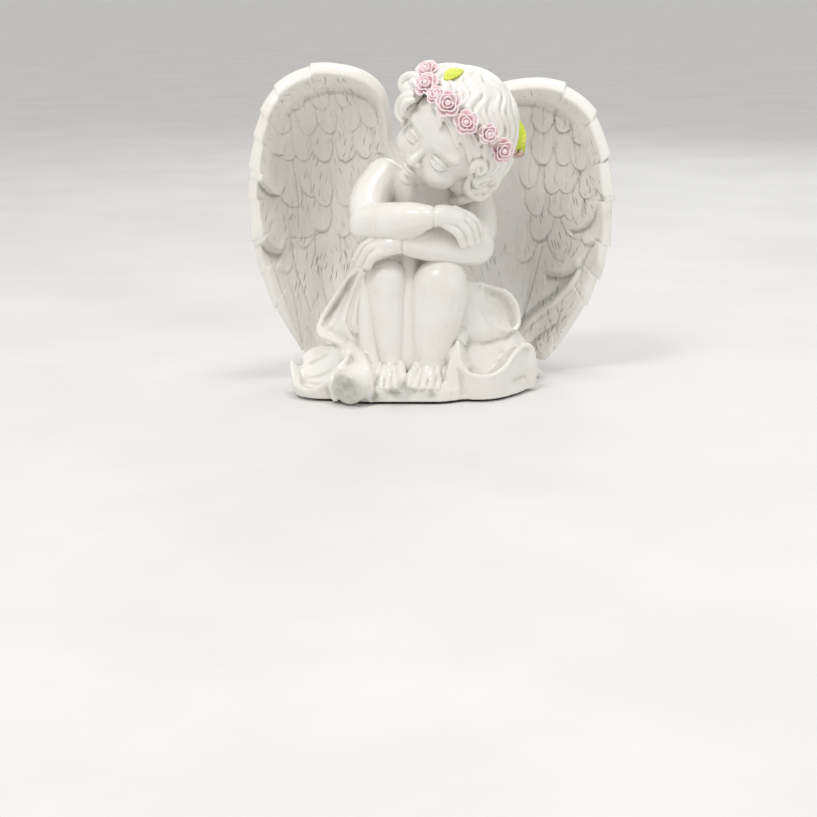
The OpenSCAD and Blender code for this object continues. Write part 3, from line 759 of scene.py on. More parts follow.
def roseFinish():
    look = _, tree, _ = newFinish("roseFinish")
    hollow = channelOf(tree, "hollow")
    cloud = grain(tree, 260, 4)
    paint = mixed(tree, ramp(tree, cloud, 0.3, 0.72), roseLook["pink"], roseLook["pale"])
    paint = mixed(tree, ramp(tree, hollow, 0.62, 0.30), paint, roseLook["pale"])
    paint = mixed(tree, ramp(tree, hollow, 0.60, 0.92), paint, roseLook["deep"])
    soilAndShade = times(tree, ramp(tree, hollow, 0.62, 0.95), ramp(tree, grain(tree, 130, 3), 0.5, 0.7))
    # brown: soil in the rose hollows and on soiled spots, and painted shade on rose_7
    soilAndShade = times(tree, soilAndShade, channelOf(tree, "dirtAndShade"), "MAXIMUM")
    brush = bump(tree, grain(tree, 900, 3), 0.25, 0.00015)
    colour = mixed(tree, soilAndShade, paint, roseLook["soilAndShade"])
    return dressed(look, colour, ramp(tree, cloud, 0.3, 0.7, 0.30, 0.46), brush, 0.15)


def leafFinish():
    look = _, tree, _ = newFinish("leafFinish")
    hollow = channelOf(tree, "hollow")
    cloud = grain(tree, 240, 4)
    paint = mixed(tree, ramp(tree, cloud, 0.38, 0.66), leafLook["lime"], leafLook["yellow"])
    paint = mixed(tree, ramp(tree, hollow, 0.58, 0.85), paint, leafLook["shade"])
    brush = bump(tree, grain(tree, 800, 3), 0.2, 0.00015)
    return dressed(look, paint, ramp(tree, cloud, 0.3, 0.7, 0.28, 0.42), brush, 0.2)


def stemFinish():
    look = _, tree, _ = newFinish("stemFinish")
    hollow = channelOf(tree, "hollow")
    cloud = grain(tree, 120, 4)
    paint = mixed(tree, ramp(tree, cloud, 0.42, 0.62), stemLook["brown"], stemLook["pale"])
    paint = mixed(tree, ramp(tree, hollow, 0.55, 0.9), paint, stemLook["dark"])
    bark = bump(tree, grain(tree, 700, 3), 0.3, 0.0002)
    return dressed(look, paint, ramp(tree, cloud, 0.3, 0.7, 0.35, 0.55), bark)


def makeVine():
    parts = []
    for strand in (0, 1):
        path = []
        for i in range(wreath["steps"] + 1):
            a = 2 * math.pi * i / wreath["steps"]
            twist = wreath["twists"] * a + math.pi * strand
            r = wreath["radius"] + 1.0 * math.cos(twist)
            knot = Vector((r * math.cos(a), r * math.sin(a), 1.0 * math.sin(twist)))
            path.append(wreathMiddle + np.array(wreathTurn @ knot))
        parts.append(rod(path, [wreath["stem"]] * len(path), steps=2, sides=3))
    piece = welded(parts, 0.3, 2, "wreath_vine")
    return finished(piece, "wreath_stem", stemFinish(), ["wreath_vine"], rounds=6, depth=0.12)


def petal(width, height, cup, curlBack, facing, tilt, lift):  # one cupped petal of a rose round +Z
    piece = flatGrid(12, 12)
    points = spots(piece)
    u, v = points[:, 0].copy(), (points[:, 1] + 1) / 2
    narrow = 0.35 + 0.65 * np.sqrt(np.clip(1 - (1 - v * 1.15) ** 2, 0, 1))
    v2 = v * (1 - 0.14 * u**2 * v)
    out = cup * (1 - (u * 0.9) ** 2) * np.sin(np.pi * np.clip(v * 0.75, 0, 1)) + curlBack * np.clip(v - 0.7, 0,
        1) ** 2 * 10
    x = width / 2 * u * narrow
    flat = np.stack([x, out, height * v2], axis=1)
    wrap = x / (width * 0.62)
    flat[:, 0] = width * 0.62 * np.sin(wrap)
    flat[:, 1] -= width * 0.62 * (1 - np.cos(wrap))
    lean = np.array(Matrix.Rotation(-tilt, 3, "X"))
    flat = flat @ lean.T
    flat[:, 1] += lift
    spin = np.array(Matrix.Rotation(facing, 3, "Z"))
    setSpots(piece, flat @ spin.T)
    applied(piece, "SOLIDIFY", thickness=0.55, offset=0)
    return piece


rosePlaces = [  # middle and size of each rose
    (around("rose_1", [-1.1, -2.9, 1]), 5.4), (around("rose_2", [-0.5, -3.1, -0.5]), 5.4),
    (around("rose_3", [-1.7, -2.6, -0.7]), 3.9),
    (around("rose_4", [-1.7, -2.6, 2.9]), 5.6), (around("rose_5", [-4.5, -1.8, 5.1]), 5.3),
    (around("rose_6", [-4.9, -5, 7.2]), 4.6),
    (around("rose_7", [-4.4, -8.7, 5.4]), 5.5),
]


roseLayers = [  # petals, width, height, cup, turn back, tilt, lift, from the outside in
    (5, 1.15, 0.86, 0.30, 0.16, 0.86, 0.30), (4, 0.95, 0.86, 0.26, 0.10, 0.50, 0.22),
    (3, 0.72, 0.92, 0.20, 0.03, 0.20, 0.14),
]


def makeRose(node, index, finish):
    rng = np.random.default_rng(20 + index)
    spot, size = rosePlaces[index]
    parts = [ball((0, 0, -size * 0.25), size * 0.55, (1, 1, 0.6), facets=16)]
    for layer, (count, width, height, cup, back, tilt, lift) in enumerate(roseLayers):
        for k in range(count):
            facing = 2 * math.pi * (k + 0.5 * layer) / count + rng.uniform(-0.15, 0.15)
            tilted = tilt + rng.uniform(-0.08, 0.1)
            parts.append(petal(size * width, size * height, size * cup * 0.5, size * back, facing, tilted,
                size * lift))
    coil = []
    for t in np.linspace(0, 1, 12):
        r = size * 0.16 * (1 - t * 0.6)
        coil.append((r * math.cos(9 * t), r * math.sin(9 * t), size * (0.62 + 0.22 * t)))
    parts.append(rod(coil, [size * 0.11] * len(coil), steps=2, sides=3))
    parts.append(ball((0, 0, size * 0.4), size * 0.26, (1, 1, 1.4), facets=14))
    piece = welded(parts, 0.2, 2, node)
    way = unit(unit(spot - headMiddle) + np.array([-0.05, -0.55, 0.0]))
    frontward = Vector(way).to_track_quat("Z", "Y").to_matrix()
    points = spots(piece)
    points[:, 2] -= size * 0.42
    setSpots(piece, points @ np.array(frontward).T + spot)
    return finished(piece, node + "_bloom", finish, [node], rounds=6, depth=0.20)


leafPlaces = [
    around("leaf_1", [[-4.8, 4, 2.8], [7, 10.1, 7.4]]), around("leaf_2", [[-2.9, -4.6, 2.5], [-2.3, -0.6, 13.5]]),
    around("leaf_3", [[-0.6, -16.2, 6.6], [-0.2, -10.7, -4.4]]),
]
leafFacing = [np.array([-0.1, -0.4, 0.5]), np.array([0.1, -1.3, 0.2]), np.array([0.2, -1.3, 0.1])]


def makeLeaf(node, index, finish):
    low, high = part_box(node)
    length = max((np.array(high) - np.array(low)) / mm) * 1.02
    piece = flatGrid(22, 44)
    points = spots(piece)
    u, v = points[:, 0].copy(), (points[:, 1] + 1) / 2
    broad = length * 0.30 * np.sin(np.pi * v**0.8) ** 0.75 + 0.12
    notch = 1 + 0.07 * np.abs(np.sin(v * 18))
    x = u * broad * notch
    rise = 0.9 * np.abs(u) * np.sin(np.pi * v) - 1.3 * (v - 0.5) ** 2  # cupped and arched
    rise = rise + 0.16 * np.sin(v * 40 - np.abs(u) * 7) * np.abs(u)  # side veins
    setSpots(piece, np.stack([x, length * (v - 0.5), rise], axis=1))
    applied(piece, "SOLIDIFY", thickness=0.75, offset=0)
    parts = [piece, rod([(0, -length * 0.5, -0.1), (0, 0, 0.35), (0, length * 0.46, -0.1)], [0.5, 0.42, 0.22],
        steps=6, sides=3)]
    piece = welded(parts, 0.2, 2, node)
    sweep = leafPlaces[index]
    spot = (sweep[0] + sweep[1]) / 2
    way = unit(unit(spot - headMiddle) + leafFacing[index])
    along = unit(sweep[1] - sweep[0])
    along = unit(along - way * (along @ way))
    across = np.cross(along, way)
    setSpots(piece, spots(piece) @ np.array([across, along, way]) + spot)
    return finished(piece, node + "_blade", finish, [node], rounds=6, depth=0.14)


# wings
wing = {
    "bowl": (46, 34, 84), "wall": 3.6, "columns": 600, "frontRings": 82, "edgeRings": 8, "backRings": 44,
    "toothSize": 0.5, "seam": 0.002,
    "rim": [
        (7, 19, 70), (8, 18.5, 86), (14, 18, 98), (18.8, 17, 110), (20, 14.5, 123), (23, 11.5, 134.6), (31, 9, 142),
        (42, 8.3, 145.2),
        (55, 8, 144.8), (68, 4, 138.6), (76.5, 0, 126.5), (81, -3, 105), (81.5, -4, 82), (79, -4, 58), (72.5, -3, 38),
        (63, 0, 20), (56, 3, 10),
        (46, 10, 14), (30, 16, 30), (15, 19, 48),
    ],
    "bandWidth": [3, 3, 3.5, 4, 4.5, 5, 6.5, 7.5, 8.5, 8.5, 8, 6, 3.5, 2.5, 2.5, 2.5, 2.5, 2, 2, 2.5],
    "bandHeight": [1, 1.2, 1.6, 2, 2.3, 2.6, 3, 3.2, 3.2, 3, 2.6, 1.6, 0.7, 0.5, 0.5, 0.5, 0.5, 0.4, 0.4, 0.6],
}
rightWing = {
    "side": -1, "rise": 1.0, "foldFrom": 0.93, "foldDepth": 3.2, "foldBelow": 62, "specks": 0.12, "spread": 0.982,
    "toothMost": 1.1, "relief": 0.55, "grooveDirtAndShadowStrength": 0.16,
    "steps": [(56.3, 149.6), (72.5, 138.4), (80.1, 129.6), (83.4, 117.6), (85.2, 101.7), (86.6, 86.3), (85.2, 66),
        (81.5, 48.2), (73.6, 33), (61, 12)],
    "rows": [  # root, tip, width, lift
        [((76, 72), (63, 14), 12, 0.7), ((68, 74), (56, 6), 11, 0.7), ((59, 75), (49, 10), 11, 0.7),
            ((49, 75), (40, 20), 11, 0.7), ((38, 76), (31, 30), 10, 0.7), ((28, 79), (23, 43), 10, 0.7)],
        [((72, 86), (68, 50), 10, 0.8), ((62, 86), (60, 60), 10, 0.9), ((52.5, 88), (51, 67), 10.5, 0.9),
            ((43, 86), (41.6, 64), 10, 0.9), ((34, 88), (32, 65), 10, 0.8), ((26, 90), (24, 69), 9, 0.8)],
        [((68, 104), (64, 80), 10, 0.9), ((62, 106), (56, 84), 10, 0.9), ((52, 104), (50, 79), 10, 0.9),
            ((41, 101), (40.6, 79), 10, 0.8), ((32, 103), (31, 82), 9, 0.7), ((24, 105), (22, 86), 8, 0.7)],
        [((70, 124), (66, 103), 9, 1.0), ((62, 122), (60, 102), 9.5, 1.0), ((51, 121), (50, 101), 10, 0.9),
            ((41, 121), (40, 101), 10, 0.7), ((32, 122), (30, 103), 9, 0.6), ((25, 124), (22, 106), 8, 0.5)],
        [((72, 128), (67.4, 117), 8.5, 1.2), ((61, 134), (57, 115), 9, 1.0), ((49, 134), (47, 115), 9, 0.8),
            ((38, 134), (37, 116), 8.5, 0.6), ((29, 134), (27, 118), 8, 0.5)],
        [((66, 139), (61.5, 128), 8.5, 1.1), ((53, 142), (50, 127), 8.5, 0.9), ((42, 142), (40, 128), 8, 0.6)],
        [((82, 127), (74.5, 112), 8.5, 1.2)],
    ],
    "curls": [  # path from the rim to the tip, lift
        ([(80.4, 118), (78.4, 114.4), (76, 110.6), (73, 107.4), (68.6, 105.8)], 1.3),
        ([(83, 106), (81, 98.1), (78.2, 92.4), (75.1, 88.6), (70.6, 86.4)], 2.3),
        ([(84, 80), (81.3, 70.9), (78.1, 65.1), (74.3, 61), (69.4, 59.2)], 2.5),
    ],
    "ridges": [],
    "quills": [
        [(65.1, 103), (63.8, 91.2), (63.2, 80.9), (63, 69)], [(66.8, 66), (64.6, 54.1), (61.8, 44.5), (57, 30)],
        [(55.1, 64), (54.7, 56.4), (53, 46)],
        [(43.4, 66), (42.5, 54)], [(40.8, 64), (39.5, 50)], [(66, 66), (60, 64.4), (52, 66.6)],
        [(75, 60), (72, 48), (64, 26)],
    ],
}
leftWing = {
    "side": 1, "rise": 0.955, "foldFrom": 0.95, "foldDepth": 1.0, "foldBelow": 72, "specks": 1.0, "spread": 1.0,
    "toothMost": 1.7, "relief": 0.9, "grooveDirtAndShadowStrength": 0.28,
    "steps": [(64.6, 140.2), (77.3, 125.6), (85.6, 107.3), (87.6, 86.8), (86, 63.7), (81.6, 46.9), (76.4, 33.2),
        (61.3, 14)],
    "rows": [
        [((74, 62), (65, 16), 12, 0.7), ((67, 62), (56, 8), 11, 0.7), ((57, 62), (47, 12), 11, 0.7),
            ((48, 64), (38, 22), 11, 0.7), ((38, 66), (30, 32), 10, 0.7)],
        [((66, 80), (64, 54), 10, 0.8), ((48, 74), (46, 52), 10, 0.8), ((38, 78), (36, 56), 10, 0.7)],
        [((56, 84), (53.4, 62.6), 10.5, 1.1), ((69, 84), (71.5, 66), 9, 1.4), ((77, 82), (75.5, 64), 7, 2.0)],
        [((54, 96), (52.8, 74.4), 9.5, 0.9), ((64, 96), (62.5, 74.6), 9.5, 0.9), ((71, 95), (69.6, 74), 9, 0.9),
            ((78, 92), (77, 73), 7, 1.2)],
        [((50, 109), (49.3, 88), 9.5, 0.8), ((60.5, 108), (60, 86), 9.5, 0.9), ((68, 108), (66.7, 87), 9, 0.9),
            ((76, 107), (75, 86), 8, 1.1)],
        [((56, 121), (55.4, 100), 10, 0.9), ((65.5, 120), (64.5, 100.5), 9, 0.9), ((73, 118), (72.2, 99), 8, 1.0),
            ((80, 112), (79, 96), 7, 1.3)],
        [((55, 133), (54.8, 116), 10, 0.8), ((64, 132), (63.6, 116.5), 8.5, 0.9), ((72, 127), (71, 112), 8, 1.1)],
        [((85, 60), (75, 48), 8, 1.0)],
    ],
    "curls": [([(74, 58), (71.8, 53.4), (68, 49.6), (62.6, 47.2), (56.4, 47.4)], 2.4),
        ([(80, 84), (77.4, 76), (73, 70.6), (68, 69)], 1.2)],
    # path, how far it turns back
    "ridges": [([(73.5, 60), (70.6, 49), (64.8, 39.4), (56.8, 31), (49.3, 24.2), (43.5, 18), (38, 12)], 7.5)],
    "quills": [[(67, 60), (62, 40), (57, 22)], [(56, 60), (52, 44), (46, 24)], [(75, 84), (73, 66), (68, 54)],
        [(66, 128), (69, 112), (72, 96)]],
}


def closedPath(knots, count):  # evenly spaced points on a closed smooth loop, with their places among the knots
    knots = np.array(knots, dtype=float)
    size = len(knots)
    places = np.linspace(0, size, size * 60, endpoint=False)
    i = places.astype(int)
    t = (places - i)[:, None]
    a, b, c, d = (knots[(i + k) % size] for k in (-1, 0, 1, 2))
    dense = 0.5 * (2 * b + (c - a) * t + (2 * a - 5 * b + 4 * c - d) * t * t + (3 * b - a - 3 * c + d) * t**3)
    gaps = np.linalg.norm(np.roll(dense, -1, axis=0) - dense, axis=1)
    run = np.concatenate([[0], np.cumsum(gaps)])
    want = np.linspace(0, run[-1], count, endpoint=False)
    dense = np.vstack([dense, dense[:1]])
    places = np.append(places, size)
    return np.stack([np.interp(want, run, dense[:, k]) for k in range(3)], axis=1), np.interp(want, run, places)


def layFeather(field, x, z, root, tip, width, lift, number, tipStart=0.55, bluntness=0.5):
    root, tip = np.array(root, dtype=float), np.array(tip, dtype=float)
    run = tip - root
    length = np.linalg.norm(run)
    way = run / length
    cross = np.array([-way[1], way[0]])
    along = (x - root[0]) * way[0] + (z - root[1]) * way[1]
    across = (x - root[0]) * cross[0] + (z - root[1]) * cross[1]
    across = across - 0.05 * length * np.sin(np.pi * np.clip(along / length, 0, 1)) * (1 if number % 2 else -1)
    s = along / length
    half = width / 2 * (1 + 0.045 * np.sin(s * 21 + number * 2.1) + 0.03 * np.sin(s * 47 + number))
    tipped = np.clip((s - tipStart) / (1 - tipStart), 0, 1)
    outline = half * np.clip(1 - tipped**2, 0, 1) ** bluntness * (0.72 + 0.28 * softStep(-0.1, 0.5, s))
    edge = np.minimum(outline - np.abs(across), (1 - s) * length)
    edge = np.where(s < 0, -9, edge)
    mask = softStep(-0.35, 0.3, edge)
    height = lift * (0.15 + 0.85 * np.clip(s, 0, 1) ** 1.6) + 0.45 * (1 - np.clip(np.abs(across) / half, 0, 1) ** 2)
    height = height - 0.28 * np.exp(-((across / 0.45) ** 2)) * softStep(0.05, 0.3, s) * softStep(0.98, 0.8, s)
    fade = softStep(0.0, 0.28, s)
    field["height"] = field["height"] * (1 - mask * fade) + (height + 0.12 * field["height"]) * mask * fade
    # a dark line just outside each feather's edge, towards its tip: dirt in the groove between feathers, and painted
    # shadow cast by the feather tip
    field["grooveDirtAndShadow"] = np.maximum(field["grooveDirtAndShadow"] * (1 - mask),
        np.exp(-(((edge + 0.35) / 0.42) ** 2)) * softStep(0.25, 0.6, s))
    inside = edge > -0.1
    field["along"] = np.where(inside, along, field["along"])
    field["across"] = np.where(inside, across, field["across"])
    field["number"] = np.where(inside, number * 1.0, field["number"])


def besideCurve(knots, x, z):  # distance to a curve, positive on its right, and how far along it
    path = smoothPath(knots, 24)
    nearest, signed, share = np.full(x.size, 99.0), np.full(x.size, 99.0), np.zeros(x.size)
    for k, (a, b) in enumerate(zip(path[:-1], path[1:])):
        run = b - a
        along = np.clip(((x - a[0]) * run[0] + (z - a[1]) * run[1]) / (run @ run), 0, 1)
        offX, offZ = x - a[0] - along * run[0], z - a[1] - along * run[1]
        gap = np.hypot(offX, offZ)
        closer = gap < nearest
        nearest = np.where(closer, gap, nearest)
        signed = np.where(closer, np.where(run[0] * offZ - run[1] * offX < 0, gap, -gap), signed)
        share = np.where(closer, (k + along) / (len(path) - 1), share)
    return nearest, signed, share


def curlUp(field, x, z, knots, lift):  # the free tip of a long feather, hollow below its lip
    nearest, signed, share = besideCurve(knots, x, z)
    firm = (0.35 + 0.65 * softStep(0, 0.3, share)) * softStep(0, 0.10, 1 - share)
    calm = np.exp(-((nearest / 6.5) ** 2)) * firm
    field["height"] *= 1 - 0.85 * calm
    field["grooveDirtAndShadow"] *= 1 - 0.95 * calm
    upper = softStep(-0.3, 0.3, signed)
    lip = lift * np.exp(-((np.maximum(signed, 0) / 6.5) ** 2))
    below = -0.55 * lift * np.exp(-np.abs(np.minimum(signed, 0)) / 5)
    field["height"] += firm * (lip * upper + below * (1 - upper))
    # painted shadow: a dark line just under the curled lip
    field["grooveDirtAndShadow"] = np.maximum(field["grooveDirtAndShadow"], 0.8 * firm * np.exp(-(((signed + 0.35) / 0.4) ** 2)))


def newField(size):
    return {key: np.zeros(size) for key in ("height", "grooveDirtAndShadow", "along", "across", "number")}


def makeWing(node, plan, finish):
    bowl = np.array(wing["bowl"], dtype=float)
    columns, front, edges, back = (wing[key] for key in ("columns", "frontRings", "edgeRings", "backRings"))
    rim, places = closedPath(wing["rim"], columns)
    rim[:, 0] *= plan["spread"]
    knots = np.arange(len(wing["rim"]) + 1)
    band = np.interp(places, knots, wing["bandWidth"] + wing["bandWidth"][:1])
    bandHeight = np.interp(places, knots, wing["bandHeight"] + wing["bandHeight"][:1])
    flat = (rim - bowl) * (1, 0, 1)
    reach = np.linalg.norm(flat, axis=1)
    sink = bowl[1] - rim[:, 1]

    tooth = np.zeros(columns)  # feather tips that stand out of the outline like saw teeth
    compass = np.unwrap(np.arctan2(flat[:, 2] * plan["rise"], flat[:, 0]))
    if compass[-1] > compass[0]:
        compass = -compass
    last = None
    for x, z in plan["steps"]:
        bearing = math.atan2(z - bowl[2] * plan["rise"], x - bowl[0])
        aim = np.array([math.cos(bearing), math.sin(bearing)])
        shown = np.stack([flat[:, 0], flat[:, 2] * plan["rise"]], axis=1)
        column = int(np.argmax(shown @ aim / np.linalg.norm(shown, axis=1)))
        size = wing["toothSize"] * max(1.2, math.hypot(x - bowl[0],
            z - bowl[2] * plan["rise"]) - np.linalg.norm(shown[column]))
        size = min(size, plan["toothMost"])
        start = last if last is not None else column - 40
        span = np.arange(start, column + 1) % columns
        tooth[span] = size * np.linspace(0, 1, len(span)) ** 1.6
        last = column
    stretch = 1 + tooth / reach

    t = np.concatenate([np.linspace(0, 1, front), np.ones(edges), np.linspace(1, 0, back)])
    kind = np.concatenate([np.zeros(front), np.ones(edges), np.full(back, 2)])
    wide = t[:, None] * (1 + (stretch - 1) * (np.clip(t[:, None] - 0.82, 0, 1) / 0.18) ** 1.2)
    base = bowl + flat[None] * wide[..., None]
    base[..., 1] -= sink[None] * t[:, None] ** 2
    slope = flat / reach[:, None] * (2 * sink / reach)[:, None]
    outwards = slope[None] * t[:, None, None] + np.array([0, 1, 0])
    outwards /= np.linalg.norm(outwards, axis=2)[..., None]
    shownX, shownZ = base[..., 0].ravel(), base[..., 2].ravel() * plan["rise"]

    ahead = newField(shownX.size)
    ahead["along"], ahead["across"] = -shownZ.copy(), shownX.copy()
    number = 1
    for row in plan["rows"][:-1]:
        for root, tip, width, lift in row:
            layFeather(ahead, shownX, shownZ, root, tip, width, lift, number)
            number += 1
    if plan["side"] > 0:
        inner = softStep(48, 41, shownX)  # plain towards the body
        ahead["height"] *= 1 - inner
        ahead["grooveDirtAndShadow"] *= 1 - inner
    rimStart = plan["steps"][2:4]
    for k, (x, z) in enumerate(rimStart):  # edge feathers behind the saw teeth
        up = plan["steps"][k + 1]
        root = (x + (up[0] - x) * 1.1 - 5.5, z + (up[1] - z) * 1.1 - 1)
        layFeather(ahead, shownX, shownZ, root, (x - 1.5, z + 0.5), 9, 1.1, number, 0.4)
        number += 1
    for root, tip, width, lift in plan["rows"][-1]:
        layFeather(ahead, shownX, shownZ, root, tip, width, lift, number, 0.2, 0.8)
        number += 1
    ahead["height"] *= plan["relief"]
    for quill in plan["quills"]:
        nearest, _, _ = besideCurve(quill, shownX, shownZ)
        ahead["height"] -= 0.30 * np.exp(-((nearest / 0.35) ** 2))
        ahead["grooveDirtAndShadow"] = np.maximum(ahead["grooveDirtAndShadow"], 2.0 * np.exp(-((nearest / 0.28) ** 2)))
    for knots, lift in plan["curls"]:
        curlUp(ahead, shownX, shownZ, knots, lift)
    turnedBack = np.zeros(shownX.size)
    for knots, depth in plan["ridges"]:  # the rim turns back sharply outside this line
        nearest, signed, share = besideCurve(knots, shownX, shownZ)
        firm = softStep(0, 0.15, share) * softStep(0, 0.12, 1 - share)
        crest = firm * 1.5 * np.exp(-((signed / 1.1) ** 2))
        ahead["height"] += crest - firm * 0.8 * np.exp(-(((signed - 3.2) / 1.8) ** 2))
        ahead["grooveDirtAndShadow"] *= 1 - firm * softStep(1.5, -1, signed)
        turnedBack = np.maximum(turnedBack, firm * depth * np.clip(-signed / 9, 0, 1))

    behind = newField(shownX.size)
    behind["along"], behind["across"] = -shownZ.copy(), shownX.copy()
    root = np.array([14, 90 * plan["rise"]])
    number = 60
    tips = [np.array([x, z]) for x, z in plan["steps"]]
    for a, b, count in ((0.34, 1.02, 1), (0.22, 0.78, 2), (0.10, 0.56, 2), (0.02, 0.36, 1)):
        rowTips = []
        for first, second in zip(tips[:-1], tips[1:]):
            rowTips += [first + (second - first) * k / count for k in range(count)]
        rowTips.append(tips[-1])
        for tip in reversed(rowTips):
            width = (14 if count == 1 and a > 0.1 else 9.5) * (0.55 + 0.45 * b)
            layFeather(behind, shownX, shownZ, root + (tip - root) * a, root + (tip - root) * b, width, 1.0, number,
                0.6)
            number += 1
    for field in (ahead, behind):
        for key in field:
            field[key] = field[key].reshape(len(t), columns)

    gap = (1 - t)[:, None] * reach[None]  # distance from the rim
    smoothBand = softStep(band[None] + 3.5, band[None] - 3.0, gap)
    firm = softStep(0.8, 2.2, bandHeight)[None] * smoothBand
    frontHeight = ahead["height"] * (1 - firm) + bandHeight[None] * smoothBand
    ahead["grooveDirtAndShadow"] *= 1 - firm
    backHeight = wing["wall"] + behind["height"] * softStep(0, 5, gap)
    points = base.copy()
    isFront, isBack = kind == 0, kind == 2
    rimFront, rimBack = frontHeight[front - 1], backHeight[-back]
    points[isFront] -= outwards[isFront] * frontHeight[isFront][..., None]
    points[isBack] += outwards[isBack] * backHeight[isBack][..., None]
    outer = flat / reach[:, None]
    thick = (rimFront + rimBack) / 2
    for k in range(edges):
        phi = math.pi * (k + 1) / (edges + 1)
        level = -rimFront + thick * (1 - math.cos(phi))
        row = front + k
        points[row] = base[row] + outwards[row] * level[:, None] + outer * (np.minimum(thick,
            2.4) * math.sin(phi) * 0.8)[:, None]
    low = softStep(plan["foldBelow"] + 14, plan["foldBelow"] - 8, base[..., 2] * plan["rise"]) * softStep(52, 60,
        base[..., 0])
    fold = np.clip((t[:, None] - plan["foldFrom"]) / (1 - plan["foldFrom"]), 0, 1) ** 1.3
    points[..., 1] += plan["foldDepth"] * fold * low + turnedBack.reshape(len(t), columns)
    points[..., 2] *= plan["rise"]
    points[..., 0] *= plan["side"]

    piece = flatGrid(columns, len(t) - 1)
    loop = np.concatenate([points, points[:, :1]], axis=1)
    setSpots(piece, loop.reshape(-1, 3))

    def channel(key):
        both = np.where(isBack[:, None], behind[key], ahead[key])
        return np.concatenate([both, both[:, :1]], axis=1).ravel()

    for key in ("grooveDirtAndShadow", "along", "across", "number"):
        addChannel(piece, key, channel(key))
    facedOut(piece, wing["seam"])
    return finished(piece, node + "_feathered", finish, [node], rounds=6, depth=0.25)


def wingFinish(name, specks, grooveDirtAndShadowStrength):
    look = _, tree, _ = newFinish(name)
    hollow = channelOf(tree, "hollow")
    grooveDirtAndShadow, along, across, number = (channelOf(tree, key) for key in ("grooveDirtAndShadow", "along", "across", "number"))
    cloud = grain(tree, 48, 4)
    patches = grain(tree, 30, 3)

    def strokes(shear, broad, long, offset, low, high):  # short scratches pressed along each feather
        leaned = times(tree, times(tree, along, shear), across, "ADD")
        u = times(tree, times(tree, leaned, 1 / broad), times(tree, number, 7.31 + offset), "ADD")
        v = times(tree, times(tree, along, 1 / long), offset, "ADD")
        where = addNode(tree, "ShaderNodeCombineXYZ", [("X", u), ("Y", v)])
        cells = addNode(tree, "ShaderNodeTexVoronoi", [("Vector", where.outputs["Vector"])])
        cells.voronoi_dimensions = "2D"
        cells.inputs["Scale"].default_value = 1.0
        return ramp(tree, cells.outputs["Distance"], high, low)

    lean = ramp(tree, grain(tree, 24, 2), 0.47, 0.53)
    oneWay = times(tree, strokes(0.24, 1.6, 15.0, 0.3, 0.08, 0.17), lean)
    otherWay = times(tree, strokes(-0.32, 1.7, 16.0, 5.7, 0.08, 0.17), times(tree, 1.0, lean, "SUBTRACT"))
    marks = times(tree, oneWay, otherWay, "MAXIMUM")
    marks = times(tree, marks, ramp(tree, patches, 0.36, 0.60, 0.15, 1.0))
    marks = times(tree, marks, ramp(tree, hollow, 0.22, 0.42))
    vane = times(tree, times(tree, across, 0.0, "ABSOLUTE"), along, "ADD")
    barbs = times(tree, times(tree, vane, 5.2), 0.0, "SINE")
    # the groove channel carries dirt in the feather grooves and painted shadow under feather tips and curled lips
    seams = times(tree, grooveDirtAndShadow, ramp(tree, grain(tree, 110, 4), 0.30, 0.65, 0.35, 1.0))
    hollows = times(tree, ramp(tree, hollow, 0.62, 0.95), 0.4)
    tone = mixed(tree, ramp(tree, cloud, 0.35, 0.7), resinLook["white"], resinLook["warm"])
    soilAndShade = times(tree, times(tree, marks, 0.8), times(tree, seams, grooveDirtAndShadowStrength), "ADD")
    soilAndShade = times(tree, soilAndShade, hollows, "ADD")
    dotCells = grain(tree, 520, 2)
    dots = times(tree, ramp(tree, dotCells, 0.70, 0.735), ramp(tree, patches, 0.50, 0.60))
    soilAndShade = times(tree, soilAndShade, times(tree, dots, 0.9 * specks), "ADD")
    soilAndShade = times(tree, soilAndShade, 1.0, "MINIMUM")
    wear = times(tree, ramp(tree, cloud, 0.3, 0.75, 0.20, 0.36), times(tree, soilAndShade, 0.3), "ADD")
    pressed = bump(tree, marks, 0.6, 0.0004, invert=True)
    vanes = bump(tree, barbs, 0.10, 0.0002, pressed)
    skin = bump(tree, grain(tree, 420, 2), 0.12, 0.0002, vanes)
    return dressed(look, mixed(tree, soilAndShade, tone, (0.27, 0.27, 0.25)), wear, skin, 0.3, 0.12)


# the draped cloth and the ground it lies on
cloth = {"voxel": 0.68, "rounds": 5, "sheet": 2.2, "mostFaces": 92000}


def smoothGrid(rows, across, down):  # a smooth patch through rows of points
    wide = [smoothPath(row, across) for row in rows]
    return np.stack([smoothPath([row[k] for row in wide], down) for k in range(across)], axis=1)


def patch(rows, thickness, across=60, down=36):  # a sheet with rounded edges
    grid = smoothGrid(rows, across, down)
    piece = flatGrid(across - 1, down - 1)
    setSpots(piece, grid.reshape(-1, 3))
    return applied(piece, "SOLIDIFY", thickness=thickness, offset=0)


